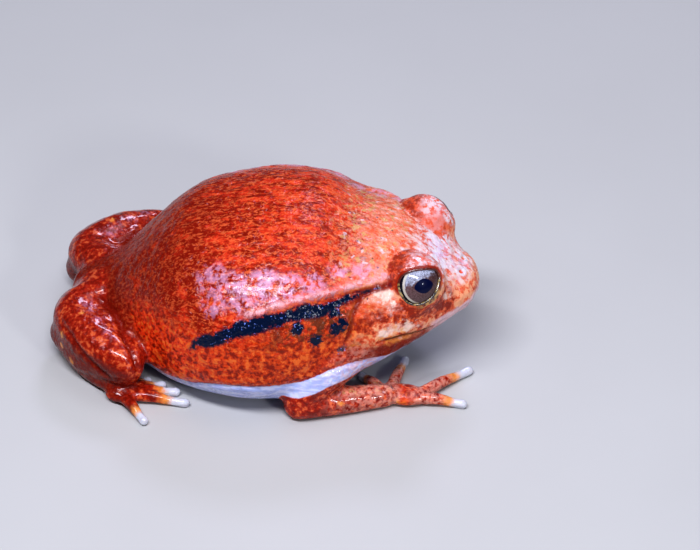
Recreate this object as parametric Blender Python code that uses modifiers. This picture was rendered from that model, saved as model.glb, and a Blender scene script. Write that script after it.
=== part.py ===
"""A tomato frog, life size, sitting with its belly on the ground and its hands in front of it.

Blender 4.5, metres, +Z up. The head points to +X, the frog's left side is +Y and the ground is z = 0.
The frog is modelled whole: a loft for the trunk and head and tapered tubes for the limbs and digits,
fused by voxel remeshing and softened. Thin cuts then part it into the pieces that a person would name.
Tables and points are in millimetres, which MM turns into metres.
"""

import math

import bmesh
import bpy
import numpy as np
from mathutils import Matrix, Vector

MM = 0.001

# Driving dimensions of an adult female
SNOUT_TO_VENT = 90.2 * MM
TRUNK_WIDTH = 62 * MM
BACK_HEIGHT = 37 * MM
EYE_RADIUS = 5.5 * MM

VENT_X = -43.8 * MM  # while the frog is modelled: the finished frog is centred on its own box
GAP = 0.3 * MM  # left between touching pieces
CORE_VOXEL = 1.0 * MM  # for the trunk, head and upper limbs
FINE_VOXEL = 0.6 * MM  # for the whole frog, fine enough for its fingers
CORE_SOFTENING = 9  # smoothing passes that round the creases of the trunk
FINE_SOFTENING = 3
FROG_TRIANGLES = 5600  # of the whole frog before it is parted

# Stations of the trunk and head, from vent to snout. Columns: the share of the length behind the
# station, the half width as a share of half TRUNK_WIDTH, the top, bottom and widest height as shares
# of BACK_HEIGHT, and the sideways shift of the hips in millimetres.
STATIONS = np.array([
    [0.000, 0.016, 0.286, 0.222, 0.254, -1.5],
    [0.009, 0.087, 0.341, 0.149, 0.254, -1.6],
    [0.044, 0.155, 0.405, 0.054, 0.259, -1.6],
    [0.109, 0.297, 0.492, -0.027, 0.278, -1.6],
    [0.186, 0.526, 0.673, -0.041, 0.311, -1.4],
    [0.286, 0.803, 0.878, -0.054, 0.338, -0.8],
    [0.397, 0.961, 0.949, -0.054, 0.365, -0.4],
    [0.508, 0.997, 0.997, -0.054, 0.378, 0.0],
    [0.608, 0.906, 1.003, -0.041, 0.400, 0.0],
    [0.696, 0.752, 0.938, 0.027, 0.432, 0.0],
    [0.785, 0.677, 0.903, 0.160, 0.478, 0.0],
    [0.851, 0.555, 0.843, 0.255, 0.522, 0.0],
    [0.912, 0.394, 0.743, 0.335, 0.549, 0.0],
    [0.957, 0.265, 0.664, 0.395, 0.559, 0.0],
    [0.987, 0.167, 0.619, 0.455, 0.565, 0.0],
    [1.000, 0.016, 0.570, 0.525, 0.554, 0.0],
])
LOFT_RINGS, LOFT_SIDES = 84, 64
UPPER_POWER, LOWER_POWER = 2.2, 2.6  # superellipse powers above and below the widest height

# Head
EYE_PLACE = (33.4, 10.8, 27.0)  # of the left eye
EYE_AXIS = (0.41, 0.88, 0.23)  # the way the left eye looks
LID_RADIUS = EYE_RADIUS + 1.15 * MM
OPENING_AHEAD = 6.0 * MM  # from the eye's centre to the middle of the cutter that opens the lids
OPENING_SIZE = (5.6, 4.9, 4.3)  # half sizes of that cutter: along the gaze, across it and upwards
NECK_X, NECK_Z, NECK_LEAN = 23.0 * MM, 20.0 * MM, math.radians(16)
MOUTH_KNOTS = ((25.0, 17.2), (28.0, 17.6), (32.4, 17.4), (37.0, 16.9), (41.5, 17.8), (44.6, 18.9))
MOUTH_FRONT = (46.3, 19.0)
MOUTH_RADIUS = 0.45
LIP_RISE, LIP_RADIUS = 1.0, 0.85  # the upper lip's roll above the mouth
NOSTRIL_PLACE = (42.7, 2.4, 24.6)
NOSTRIL_RADIUS = 0.75 * MM
FOLD_KNOTS = ((29.0, 29.2), (23.5, 29.6), (17.0, 29.2), (10.0, 28.5), (3.0, 27.0))  # from eye to flank
FOLD_RADIUS = 1.5
JAW_FOLD_KNOTS = ((26.5, 27.5), (22.5, 25.0), (20.0, 21.0), (20.5, 16.5))  # down behind the jaw
JAW_FOLD_RADIUS = 1.2

# Limbs: the points of their middle lines, then their radii at those points. The left ones have +Y.
# The left arm is set back, as in a stride that has stopped.
ARM_RIGHT = (((20, -17.5, 13), (14, -24, 8), (10.8, -26.3, 4.4)), (6.0, 4.6, 3.5))
FOREARM_RIGHT = (((10.8, -26.3, 3.1), (19, -23.6, 2.9), (28.5, -20.0, 2.3)), (3.5, 3.2, 2.5))
ARM_LEFT = (((12, 21, 14), (5.5, 28, 8), (1.6, 31.3, 4.4)), (6.0, 4.6, 3.5))
FOREARM_LEFT = (((1.6, 31.3, 3.1), (10, 30.2, 2.9), (19.4, 27.0, 2.3)), (3.5, 3.2, 2.5))
PALM_SIZE = (5.4, 3.0, 1.9)
# Each digit's base and tip, outermost first. A right hand's lie to its left.
FINGERS_RIGHT = (
    ((35.5, -18.9), (45.4, -18.7)),
    ((36.0, -17.6), (45.6, -7.2)),
    ((29.5, -17.0), (31.3, -5.8)),
    ((27.5, -17.6), (22.6, -12.4)),
)
PALM_RIGHT = (32.4, -18.5, 1.8)
HAND_LEFT_SHIFT = (-9.0, 7.0)  # from the right hand, once mirrored, to the left one
FINGER_RADII = (1.5, 1.15)

HIP_SHIFT = -0.7  # the hips sit a little to the right of the head's line
LEFT_LEG_BACK = -1.2  # the left leg lies a little further back than the right
THIGH = (
    ((-36.0, 5.0, 11.4), (-41.0, 11.0, 10.4), (-35.6, 18.6, 10.2), (-27.4, 24.4, 8.8)),
    (5.0, 4.8, 5.0, 4.5),
)
SHANK = (((-27.6, 23.9, 6.8), (-37, 18.3, 5.4), (-42.8, 11.6, 5.4)), (4.1, 4.3, 4.0))
TARSUS = (((-42.8, 12.0, 3.0), (-37.2, 19.0, 2.5), (-30.2, 24.3, 2.1)), (2.7, 2.5, 2.2))
SOLE, SOLE_SIZE = (-28.2, 25.8, 1.8), (3.6, 3.0, 1.8)
TOES = (
    ((-27.6, 27.0), (-21.8, 33.6)),
    ((-27.0, 26.4), (-14.0, 26.4)),
    ((-27.0, 25.6), (-16.6, 23.0)),
    ((-27.4, 25.0), (-20.0, 21.2)),
    ((-28.0, 24.5), (-23.4, 20.2)),
)
TOE_RADII = (1.45, 1.1)
HAUNCH, HAUNCH_SIZE = (-31.0, 13.0, 7.8), (9.0, 8.0, 6.8)  # flesh between the trunk and the thigh
DIGIT_HEIGHT = 0.85  # of a digit's middle above the ground, less than its radius: it rests on a flat
DIGIT_ARCH = 0.5
SLEEVE = 0.7 * MM  # how far a limb's cutter stands off the limb
SLEEVE_VOXEL, SLEEVE_SHARE = 0.8 * MM, 0.2  # a paw's cutter and the share of its triangles that stay
SLIVER = 0.003 * MM

# Linear RGB
RED = (0.55, 0.065, 0.02, 1.0)
ORANGE_RED = (0.60, 0.11, 0.03, 1.0)
BRONZE = (0.27, 0.22, 0.19, 1.0)
SKIN_ROUGHNESS, EYE_ROUGHNESS = 0.35, 0.08


def clear_scene():
    for obj in list(bpy.data.objects):
        bpy.data.objects.remove(obj, do_unlink=True)


def new_collection(name):
    collection = bpy.data.collections.new(name)
    bpy.context.scene.collection.children.link(collection)
    return collection


def new_material(name, colour, roughness):
    material = bpy.data.materials.new(name)
    material.use_nodes = True
    shader = material.node_tree.nodes["Principled BSDF"]
    shader.inputs["Base Color"].default_value = colour
    shader.inputs["Roughness"].default_value = roughness
    return material


def spline(knots, values, at):
    """A smooth curve through the values at the knots (cubic Hermite, slopes from the neighbours)."""
    k, v, at = (np.asarray(a, float) for a in (knots, values, at))
    step = np.diff(k)
    slope = np.diff(v) / step
    inner = (slope[:-1] * step[1:] + slope[1:] * step[:-1]) / (step[1:] + step[:-1])
    m = np.concatenate([slope[:1], inner, slope[-1:]])
    i = np.clip(np.searchsorted(k, at, side="right") - 1, 0, len(k) - 2)
    h = step[i]
    t = np.clip((at - k[i]) / h, 0, 1)
    start = (2 * t**3 - 3 * t**2 + 1) * v[i] + (t**3 - 2 * t**2 + t) * h * m[i]
    return start + (3 * t**2 - 2 * t**3) * v[i + 1] + (t**3 - t**2) * h * m[i + 1]


def station(x):
    """Half width, top, bottom, widest height and sideways shift of the trunk at x, in metres."""
    along = (np.asarray(x, float) - VENT_X) / SNOUT_TO_VENT
    scales = (TRUNK_WIDTH / 2, BACK_HEIGHT, BACK_HEIGHT, BACK_HEIGHT, MM)
    return [spline(STATIONS[:, 0], STATIONS[:, c + 1], along) * s for c, s in enumerate(scales)]


def flank_point(x, z, side):
    """The point of the trunk's or head's surface at x and height z, both in MM, on side -1 or 1."""
    width, top, bottom, widest, shift = (float(v) / MM for v in station(x * MM))
    if z > widest:
        share, power = (z - widest) / (top - widest), UPPER_POWER
    else:
        share, power = (widest - z) / (widest - bottom), LOWER_POWER
    across = max(0.0, 1 - share**power) ** (1 / power)
    return Vector((x, shift + side * width * across, z))


def link_mesh(name, mesh, collection):
    obj = bpy.data.objects.new(name, mesh)
    collection.objects.link(obj)
    return obj


def mesh_from(bm, name):
    bmesh.ops.recalc_face_normals(bm, faces=bm.faces)
    mesh = bpy.data.meshes.new(name)
    bm.to_mesh(mesh)
    bm.free()
    return mesh


def evaluated_mesh(obj):
    graph = bpy.context.evaluated_depsgraph_get()
    return bpy.data.meshes.new_from_object(obj.evaluated_get(graph))


def trunk_loft(collection):
    """The trunk and head: superellipse rings along the body, close together towards vent and snout."""
    turn = 0.5 - 0.5 * np.cos(np.pi * np.linspace(0, 1, LOFT_RINGS))
    x = VENT_X + turn * SNOUT_TO_VENT
    width, top, bottom, widest, shift = (v[:, None] for v in station(x))
    angle = np.linspace(0, 2 * np.pi, LOFT_SIDES, endpoint=False)[None]
    above = np.sin(angle) >= 0
    power = np.where(above, UPPER_POWER, LOWER_POWER)
    across = np.sign(np.cos(angle)) * np.abs(np.cos(angle)) ** (2 / power)
    rise = np.sign(np.sin(angle)) * np.abs(np.sin(angle)) ** (2 / power)
    y = shift + width * across
    z = widest + np.where(above, top - widest, widest - bottom) * rise
    bm = bmesh.new()
    rings = []
    for i in range(LOFT_RINGS):
        rings.append([bm.verts.new((x[i], y[i, j], z[i, j])) for j in range(LOFT_SIDES)])
    for near, far in zip(rings, rings[1:]):
        for j in range(LOFT_SIDES):
            k = (j + 1) % LOFT_SIDES
            bm.faces.new((near[j], far[j], far[k], near[k]))
    bm.faces.new(rings[0])
    bm.faces.new(rings[-1])
    return link_mesh("trunk", mesh_from(bm, "trunk"), collection)


def tube(name, points, radii, collection, grow=0.0, bevel=4, pitch=1.5):
    """A closed tube with round ends. Points and radii are in MM, grow in metres."""
    points = np.asarray(points, float)
    radii = np.asarray(radii, float) + grow / MM
    steps = np.linalg.norm(np.diff(points, axis=0), axis=1)
    knots = np.concatenate([[0], np.cumsum(steps)])
    along = np.linspace(0, knots[-1], max(5, int(knots[-1] / pitch)))
    line = np.stack([spline(knots, points[:, c], along) for c in range(3)], 1)
    thick = spline(knots, radii, along)
    cap = np.radians([85, 66, 44, 22])  # rings of a quarter circle that close each end
    first = (line[0] - line[1]) / np.linalg.norm(line[0] - line[1])
    last = (line[-1] - line[-2]) / np.linalg.norm(line[-1] - line[-2])
    head = line[0] + first * thick[0] * np.sin(cap)[:, None]
    tail = line[-1] + last * thick[-1] * np.sin(cap[::-1])[:, None]
    line = np.concatenate([head, line, tail])
    thick = np.concatenate([thick[0] * np.cos(cap), thick, thick[-1] * np.cos(cap[::-1])])
    curve = bpy.data.curves.new(name, "CURVE")
    curve.dimensions = "3D"
    curve.bevel_depth = MM
    curve.bevel_resolution = bevel
    curve.use_fill_caps = True
    path = curve.splines.new("POLY")
    path.points.add(len(line) - 1)
    for point, place, radius in zip(path.points, line, thick):
        point.co = (*(place * MM), 1.0)
        point.radius = radius
    guide = bpy.data.objects.new(name, curve)
    collection.objects.link(guide)
    bpy.context.view_layer.update()
    bm = bmesh.new()
    bm.from_mesh(evaluated_mesh(guide))
    bpy.data.objects.remove(guide)
    bmesh.ops.remove_doubles(bm, verts=bm.verts, dist=0.001 * MM)
    return link_mesh(name, mesh_from(bm, name), collection)


def ball(name, centre, radii, collection, segments=24, rings=14):
    """An ellipsoid. Its centre and radii are in metres."""
    bm = bmesh.new()
    bmesh.ops.create_uvsphere(bm, u_segments=segments, v_segments=rings, radius=1.0)
    bmesh.ops.scale(bm, vec=Vector(radii), verts=bm.verts)
    bmesh.ops.translate(bm, vec=Vector(centre), verts=bm.verts)
    return link_mesh(name, mesh_from(bm, name), collection)


def block(name, size, matrix, collection):
    """A box of a size in metres, placed by a matrix."""
    bm = bmesh.new()
    bmesh.ops.create_cube(bm, size=1.0)
    bmesh.ops.scale(bm, vec=Vector(size), verts=bm.verts)
    bmesh.ops.transform(bm, matrix=matrix, verts=bm.verts)
    return link_mesh(name, mesh_from(bm, name), collection)


def apply_modifiers(obj):
    mesh = evaluated_mesh(obj)
    obj.modifiers.clear()
    obj.data = mesh
    return obj


def fused(name, objects, voxel, passes, collection):
    """One soft skin round several closed meshes, which are removed."""
    bm = bmesh.new()
    for obj in objects:
        bm.from_mesh(obj.data)
        bpy.data.objects.remove(obj)
    mesh = bpy.data.meshes.new(name)
    bm.to_mesh(mesh)
    bm.free()
    skin = link_mesh(name, mesh, collection)
    remesh = skin.modifiers.new("remesh", "REMESH")
    remesh.mode = "VOXEL"
    remesh.voxel_size = voxel
    if passes:
        soften = skin.modifiers.new("soften", "SMOOTH")
        soften.factor = 0.5
        soften.iterations = passes
    return apply_modifiers(skin)


def boolean(obj, cutter, operation):
    modifier = obj.modifiers.new("cut", "BOOLEAN")
    modifier.operation = operation
    modifier.solver = "EXACT"
    modifier.object = cutter
    return apply_modifiers(obj)


def cut_away(obj, cutter):
    boolean(obj, cutter, "DIFFERENCE")
    bpy.data.objects.remove(cutter)
    return obj


def largest_piece(obj):
    """Keeps the closed surface that holds the most and drops loose scraps."""
    bm = bmesh.new()
    bm.from_mesh(obj.data)
    bmesh.ops.dissolve_degenerate(bm, dist=SLIVER, edges=bm.edges)
    bmesh.ops.triangulate(bm, faces=bm.faces)
    left, islands = set(bm.verts), []
    while left:
        seed = left.pop()
        island, edge = {seed}, [seed]
        while edge:
            vertex = edge.pop()
            for link in vertex.link_edges:
                other = link.other_vert(vertex)
                if other not in island:
                    island.add(other)
                    edge.append(other)
        left -= island
        islands.append(island)

    def volume(island):
        faces = {f for v in island for f in v.link_faces}
        return sum(f.verts[0].co.dot(f.verts[1].co.cross(f.verts[2].co)) for f in faces) / 6

    best = max(islands, key=volume)
    bmesh.ops.delete(bm, geom=[v for v in bm.verts if v not in best], context="VERTS")
    bm.to_mesh(obj.data)
    bm.free()
    return obj


def on_other_side(limb):
    """A right limb from a left one."""
    points, radii = limb
    return tuple((x, -y, z) for x, y, z in points), radii


def moved(limb, dx, dy):
    points, radii = limb
    return tuple((x + dx, y + dy, z) for x, y, z in points), radii


def digit(base, tip, radii):
    """A digit's middle line, arched a little, and its radii: waisted, then fuller at the tip."""
    base = np.array((*base, 1.6))
    tip = np.array((*tip, DIGIT_HEIGHT))
    middle = base + 0.5 * (tip - base) + np.array((0, 0, DIGIT_ARCH))
    neck = base + 0.85 * (tip - base)
    slim = 0.9 * radii[1]
    return (base, middle, neck, tip), (radii[0], 0.5 * (radii[0] + slim), slim, radii[1])


def limb_plan():
    """Every limb's tubes and ellipsoids by node name, in MM. A hand or foot also has its palm."""
    tubes, palms = {}, {}
    for side, flip in (("left", 1), ("right", -1)):
        leg = [limb if flip == 1 else on_other_side(limb) for limb in (THIGH, SHANK, TARSUS)]
        back = LEFT_LEG_BACK if side == "left" else 0.0
        leg = [moved(limb, back, HIP_SHIFT) for limb in leg]
        tubes["thigh_" + side] = [leg[0]]
        tubes["shank_" + side] = [leg[1]]
        toes = [digit((bx, flip * by), (tx, flip * ty), TOE_RADII) for (bx, by), (tx, ty) in TOES]
        tubes["foot_" + side] = [leg[2]] + [moved(toe, back, HIP_SHIFT) for toe in toes]
        sole = (SOLE[0] + back, flip * SOLE[1] + HIP_SHIFT, SOLE[2])
        palms["foot_" + side] = (sole, SOLE_SIZE)
    fingers = [digit(base, tip, FINGER_RADII) for base, tip in FINGERS_RIGHT]
    shift_x, shift_y = HAND_LEFT_SHIFT
    tubes["upper_arm_right"], tubes["upper_arm_left"] = [ARM_RIGHT], [ARM_LEFT]
    tubes["forearm_right"], tubes["forearm_left"] = [FOREARM_RIGHT], [FOREARM_LEFT]
    tubes["hand_right"] = fingers
    tubes["hand_left"] = [moved(on_other_side(finger), shift_x, shift_y) for finger in fingers]
    palm_x, palm_y, palm_z = PALM_RIGHT
    palms["hand_right"] = (PALM_RIGHT, PALM_SIZE)
    palms["hand_left"] = ((palm_x + shift_x, shift_y - palm_y, palm_z), PALM_SIZE)
    return tubes, palms


def limb_meshes(name, plan, collection, grow=0.0, bevel=4):
    """The loose closed meshes of one limb node."""
    tubes, palms = plan
    made = []
    for number, (points, radii) in enumerate(tubes[name]):
        made.append(tube(f"{name}_{number}", points, radii, collection, grow, bevel))
    if name in palms:
        centre, size = palms[name]
        radii = [r * MM + grow for r in size]
        made.append(ball(name + "_palm", Vector(centre) * MM, radii, collection, 20, 12))
    return made


def eye_centre(side):
    x, y, z = EYE_PLACE
    return Vector((x, side * y, z)) * MM


def folds(collection):
    """Rolls of skin on both sides: from the eye along the flank, behind the jaw and the upper lip."""
    made = []
    for side in (-1, 1):
        rolls = (
            ("fold", FOLD_KNOTS, FOLD_RADIUS, 0.9, (0.8, 1.0, 1.0, 0.8, 0.4)),
            ("jaw_fold", JAW_FOLD_KNOTS, JAW_FOLD_RADIUS, 0.7, (0.7, 1.0, 1.0, 0.5)),
        )
        for name, knots, radius, sunk, swell in rolls:
            points = [flank_point(x, z, side) - Vector((0, side * sunk, 0)) for x, z in knots]
            radii = [radius * s for s in swell]
            made.append(tube(f"{name}_{side}", points, radii, collection))
    return made


def mouth_line(rise, sunk):
    """Points along the mouth from corner to corner, raised and sunk into the head, in MM."""
    right = [flank_point(x, z + rise, -1) + Vector((0, sunk, 0)) for x, z in MOUTH_KNOTS]
    front = Vector((MOUTH_FRONT[0] - sunk, 0, MOUTH_FRONT[1] + rise))
    left = [Vector((p.x, -p.y, p.z)) for p in reversed(right)]
    return right + [front] + left


def whole_frog(plan, collection):
    """The frog in one piece, resting on flats at z = 0."""
    core = [trunk_loft(collection)]
    for side in (-1, 1):
        core.append(ball(f"lid_{side}", eye_centre(side), [LID_RADIUS] * 3, collection))
        x, y, z = HAUNCH
        place = Vector((x, side * y + HIP_SHIFT, z)) * MM
        core.append(ball(f"haunch_{side}", place, [s * MM for s in HAUNCH_SIZE], collection))
    core += folds(collection)
    knots = len(MOUTH_KNOTS)
    swell = [LIP_RADIUS * min(1.0, 0.4 + 0.2 * i) for i in range(knots)]
    lip_radii = swell + [LIP_RADIUS] + swell[::-1]
    core.append(tube("lip", mouth_line(LIP_RISE, 0.6 * LIP_RADIUS), lip_radii, collection))
    limbs = plan[0]
    for name in limbs:
        if name.startswith(("thigh", "shank", "upper_arm")):
            core += limb_meshes(name, plan, collection, bevel=6)
    fine = [fused("core", core, CORE_VOXEL, CORE_SOFTENING, collection)]
    for name in limbs:
        if name.startswith(("forearm", "hand", "foot")):
            fine += limb_meshes(name, plan, collection)
    frog = fused("frog", fine, FINE_VOXEL, FINE_SOFTENING, collection)
    frog.modifiers.new("triangles", "TRIANGULATE")
    apply_modifiers(frog)
    thin = frog.modifiers.new("thin", "DECIMATE")
    thin.ratio = min(1.0, FROG_TRIANGLES / len(frog.data.polygons))
    apply_modifiers(frog)
    ground = block("ground", (0.3, 0.3, 0.05), Matrix.Translation((0, 0, -0.025)), collection)
    return largest_piece(cut_away(frog, ground))


def take(rest, name, small, large):
    """Splits the piece inside a cutter off the rest, with GAP between them: large is small plus GAP."""
    piece = link_mesh(name, rest.data.copy(), rest.users_collection[0])
    boolean(piece, small, "INTERSECT")
    bpy.data.objects.remove(small)
    cut_away(rest, large)
    largest_piece(piece)
    largest_piece(rest)
    return piece


def hull(name, obj, collection):
    """The convex hull of a mesh, which is removed."""
    bm = bmesh.new()
    for vertex in obj.data.vertices:
        bm.verts.new(vertex.co)
    bpy.data.objects.remove(obj)
    bmesh.ops.convex_hull(bm, input=bm.verts)
    bmesh.ops.delete(bm, geom=[v for v in bm.verts if not v.link_faces], context="VERTS")
    return link_mesh(name, mesh_from(bm, name), collection)


def sleeve(name, plan, grow, collection):
    """A closed cutter that stands off a limb by grow."""
    parts = limb_meshes(name, plan, collection, grow, bevel=3)
    if len(parts) == 1:
        return hull(name + "_sleeve", parts[0], collection)
    cutter = fused(name + "_sleeve", parts, SLEEVE_VOXEL, 1, collection)
    cutter.modifiers.new("triangles", "TRIANGULATE")
    thin = cutter.modifiers.new("thin", "DECIMATE")
    thin.ratio = SLEEVE_SHARE
    return apply_modifiers(cutter)


def neck_block(ahead, collection):
    """A box in front of a leaning plane that lies ahead of the neck's cut."""
    lean = Matrix.Rotation(-NECK_LEAN, 4, "Y")
    place = Matrix.Translation((NECK_X, 0, NECK_Z))
    move = Matrix.Translation((0.05 + ahead, 0, 0))
    return block("front", (0.1, 0.2, 0.2), place @ lean @ move, collection)


def gaze(side):
    """A turn that takes +X to the way an eye looks, and +Z near to up."""
    x, y, z = EYE_AXIS
    return Vector((x, side * y, z)).to_track_quat("X", "Z").to_matrix().to_4x4()


def open_eye(head, side, collection):
    """Makes room for an eyeball in the head and opens its lids."""
    centre = eye_centre(side)
    cut_away(head, ball("socket", centre, [EYE_RADIUS + GAP] * 3, collection, 20, 12))
    opening = ball("opening", (0, 0, 0), [s * MM for s in OPENING_SIZE], collection, 22, 12)
    ahead = Matrix.Translation((OPENING_AHEAD, 0, 0))
    opening.data.transform(Matrix.Translation(centre) @ gaze(side) @ ahead)
    cut_away(head, opening)
    return ball("eye", centre, [EYE_RADIUS] * 3, collection, 24, 14)


def detail_head(head, collection):
    """Cuts the line of the mouth and the nostrils."""
    line = []
    for point in mouth_line(0.0, 0.0):
        hit, place, normal, index = head.closest_point_on_mesh(point * MM)
        line.append(place / MM)
    groove = tube("mouth", line, [MOUTH_RADIUS] * len(line), collection, bevel=1, pitch=2.4)
    cut_away(head, groove)
    for side in (-1, 1):
        x, y, z = NOSTRIL_PLACE
        hit, place, normal, index = head.closest_point_on_mesh(Vector((x, side * y, z)) * MM)
        cut_away(head, ball("nostril", place, [NOSTRIL_RADIUS] * 3, collection, 12, 8))
    return largest_piece(head)


def part_frog(plan, work):
    """Every node of the frog by name, torso last."""
    torso = whole_frog(plan, work)
    nodes = {}
    for kind in ("hand", "forearm", "upper_arm", "foot", "shank", "thigh"):
        for side in ("left", "right"):
            name = f"{kind}_{side}"
            small = sleeve(name, plan, SLEEVE, work)
            large = sleeve(name, plan, SLEEVE + GAP, work)
            nodes[name] = take(torso, name, small, large)
    head = take(torso, "head", neck_block(GAP, work), neck_block(0.0, work))
    for number, side in (("left", 1), ("right", -1)):
        nodes["eye_" + number] = open_eye(head, side, work)
    nodes["head"] = detail_head(head, work)
    nodes["torso"] = torso
    return nodes


def finish(nodes, frog):
    """Centres the frog on its box, names its nodes and gives each its own material."""
    corners = np.array([v.co for obj in nodes.values() for v in obj.data.vertices])
    low, high = corners.min(0), corners.max(0)
    centring = Matrix.Translation((-(low[0] + high[0]) / 2, -(low[1] + high[1]) / 2, -low[2]))
    for name, obj in nodes.items():
        obj.data.transform(centring)
        obj.name = name
        obj.data.name = name
        for owner in list(obj.users_collection):
            owner.objects.unlink(obj)
        frog.objects.link(obj)
        if name.startswith("eye"):
            material = new_material(name, BRONZE, EYE_ROUGHNESS)
        else:
            colour = RED if name in ("torso", "head") else ORANGE_RED
            material = new_material(name, colour, SKIN_ROUGHNESS)
        obj.data.materials.clear()
        obj.data.materials.append(material)
    return centring.translation


clear_scene()
frog_collection = new_collection("tomato_frog")
work_collection = new_collection("work")
frog_nodes = part_frog(limb_plan(), work_collection)
shift = finish(frog_nodes, frog_collection)
print("centred by", [round(v / MM, 3) for v in shift])
for node_name, node in frog_nodes.items():
    print(node_name, len(node.data.polygons))
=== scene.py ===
# %% [markdown]
# # A tomato frog, life size
#
# The frog sits on its belly, wet and shining, with its hands in front of it. A frog has no fur
# and no feathers, so nearly all of its looks are one soft skin: its form, its folds, its fine
# grain, its colours and its wetness. The eyes are separate, glassy balls set into that skin, each
# with a thin wet rim round its opening. The frame that the script loads first holds the measured
# solids of the same frog. The skin stands for the solids of head, trunk and limbs, and each eye
# stands for its own solid.

# %% The frame
import itertools
import math

import bpy
import numpy as np
from mathutils import Matrix, Vector


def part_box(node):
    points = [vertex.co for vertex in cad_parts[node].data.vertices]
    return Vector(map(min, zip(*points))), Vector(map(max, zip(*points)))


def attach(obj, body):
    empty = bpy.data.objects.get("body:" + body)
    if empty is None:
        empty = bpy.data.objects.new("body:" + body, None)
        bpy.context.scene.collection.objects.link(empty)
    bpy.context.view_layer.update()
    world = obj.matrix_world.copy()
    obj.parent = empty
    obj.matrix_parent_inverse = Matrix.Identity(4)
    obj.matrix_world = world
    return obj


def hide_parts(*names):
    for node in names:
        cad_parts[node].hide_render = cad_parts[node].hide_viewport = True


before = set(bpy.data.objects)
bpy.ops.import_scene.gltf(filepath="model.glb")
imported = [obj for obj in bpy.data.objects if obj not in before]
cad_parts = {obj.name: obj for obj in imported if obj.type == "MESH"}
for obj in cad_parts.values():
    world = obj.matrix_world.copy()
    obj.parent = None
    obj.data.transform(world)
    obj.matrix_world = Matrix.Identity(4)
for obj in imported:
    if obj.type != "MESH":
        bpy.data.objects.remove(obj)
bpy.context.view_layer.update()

MM = 0.001

# %% [markdown]
# ## Where things are
#
# All the tables below are in millimetres, with the head towards +X, the frog's left side
# towards +Y and the ground at height 0, before the frog was centred on its own box. CENTRING is
# the small move that centred it. Every surface is worked out in these plain numbers and gets its
# place in metres only when it becomes a mesh. The eye solids tell whether the move is right.
# What is left is side 1 and what is right is side -1, so one table serves both sides.

# %% Places and sizes
CENTRING = np.array([0.472, 0.224, 0.0])
EYE_RADIUS = 5.5
EYE_PLACE = np.array([33.4, 10.8, 27.0])  # the left eye; the right one has -Y
SIDES = {"left": 1, "right": -1}
FAR = 9.0  # a distance that stands for far away


def mirrored(point, side):
    """The point itself for side 1, or its twin for side -1: Y times the side."""
    return np.multiply(point, (1, side, 1))


for name, side in SIDES.items():
    low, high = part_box("eye_" + name)
    off = (np.array(low) + np.array(high)) / 2 / MM - CENTRING - mirrored(EYE_PLACE, side)
    print("eye", name, "is", round(float(np.linalg.norm(off)), 3), "mm from its table place")

# %% [markdown]
# ## Smooth curves
#
# An animal has no straight edge. A few measured knots are enough if a smooth curve runs through
# them, and the slope at each knot comes from its two neighbours. The same curve serves heights,
# widths, radii and the middle lines of limbs, so it is written once, for whole arrays.

# %% A smooth curve through knots
def smooth_curve(knots, values, at):
    """Cubic Hermite: between two knots the value is the blend of both ends' values and slopes."""
    k, v, at = (np.asarray(a, float) for a in (knots, values, at))
    step = np.diff(k)
    slope = np.diff(v) / step
    inner = (slope[:-1] * step[1:] + slope[1:] * step[:-1]) / (step[1:] + step[:-1])
    m = np.concatenate([slope[:1], inner, slope[-1:]])
    i = np.clip(np.searchsorted(k, at, side="right") - 1, 0, len(k) - 2)
    h = step[i]
    t = np.clip((at - k[i]) / h, 0, 1)
    start = (2 * t**3 - 3 * t**2 + 1) * v[i] + (t**3 - 2 * t**2 + t) * h * m[i]
    return start + (3 * t**2 - 2 * t**3) * v[i + 1] + (t**3 - t**2) * h * m[i + 1]


def run_along(points):
    """How far along a line each of its points lies: the sum of the chords before it."""
    return np.concatenate([[0], np.cumsum(np.linalg.norm(np.diff(points, axis=0), axis=1))])


def smooth_path(points, steps):
    """Steps along a smooth line through 3-D points, even in the length of their chords."""
    points = np.asarray(points, float)
    run, at = run_along(points), np.linspace(0, 1, steps)
    return np.stack([smooth_curve(run / run[-1], points[:, c], at) for c in range(3)], 1)


def ease(low, high, value):
    """0 below low, 1 above high and the S-shaped 3t2 - 2t3 between them."""
    t = np.clip((value - low) / (high - low), 0, 1)
    return t * t * (3 - 2 * t)


def unit(vectors):
    """Each vector divided by its length."""
    return vectors / np.linalg.norm(vectors, axis=-1, keepdims=True)


print("halfway up the S:", float(ease(0, 2, 1)))

# %% [markdown]
# ## From a grid of points to a closed mesh
#
# Each simple form of the frog is a grid: rings of points from one pole to the other. Both end
# rings shrink to one point, so the form is closed. Several grids can share one mesh, which is
# how loose forms are handed over to be fused.

# %% Closed grids
def full_turn(count):
    """A row of even angles once round, without a second one at the start."""
    return np.linspace(0, 2 * np.pi, count, endpoint=False)[None]


def directions(tilt, turn):
    """Unit vectors: cos(tilt) along the first axis, sin(tilt) times cos and sin(turn) across it."""
    across = np.sin(tilt) * np.cos(turn), np.sin(tilt) * np.sin(turn)
    return np.stack(np.broadcast_arrays(np.cos(tilt), *across), -1)


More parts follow.
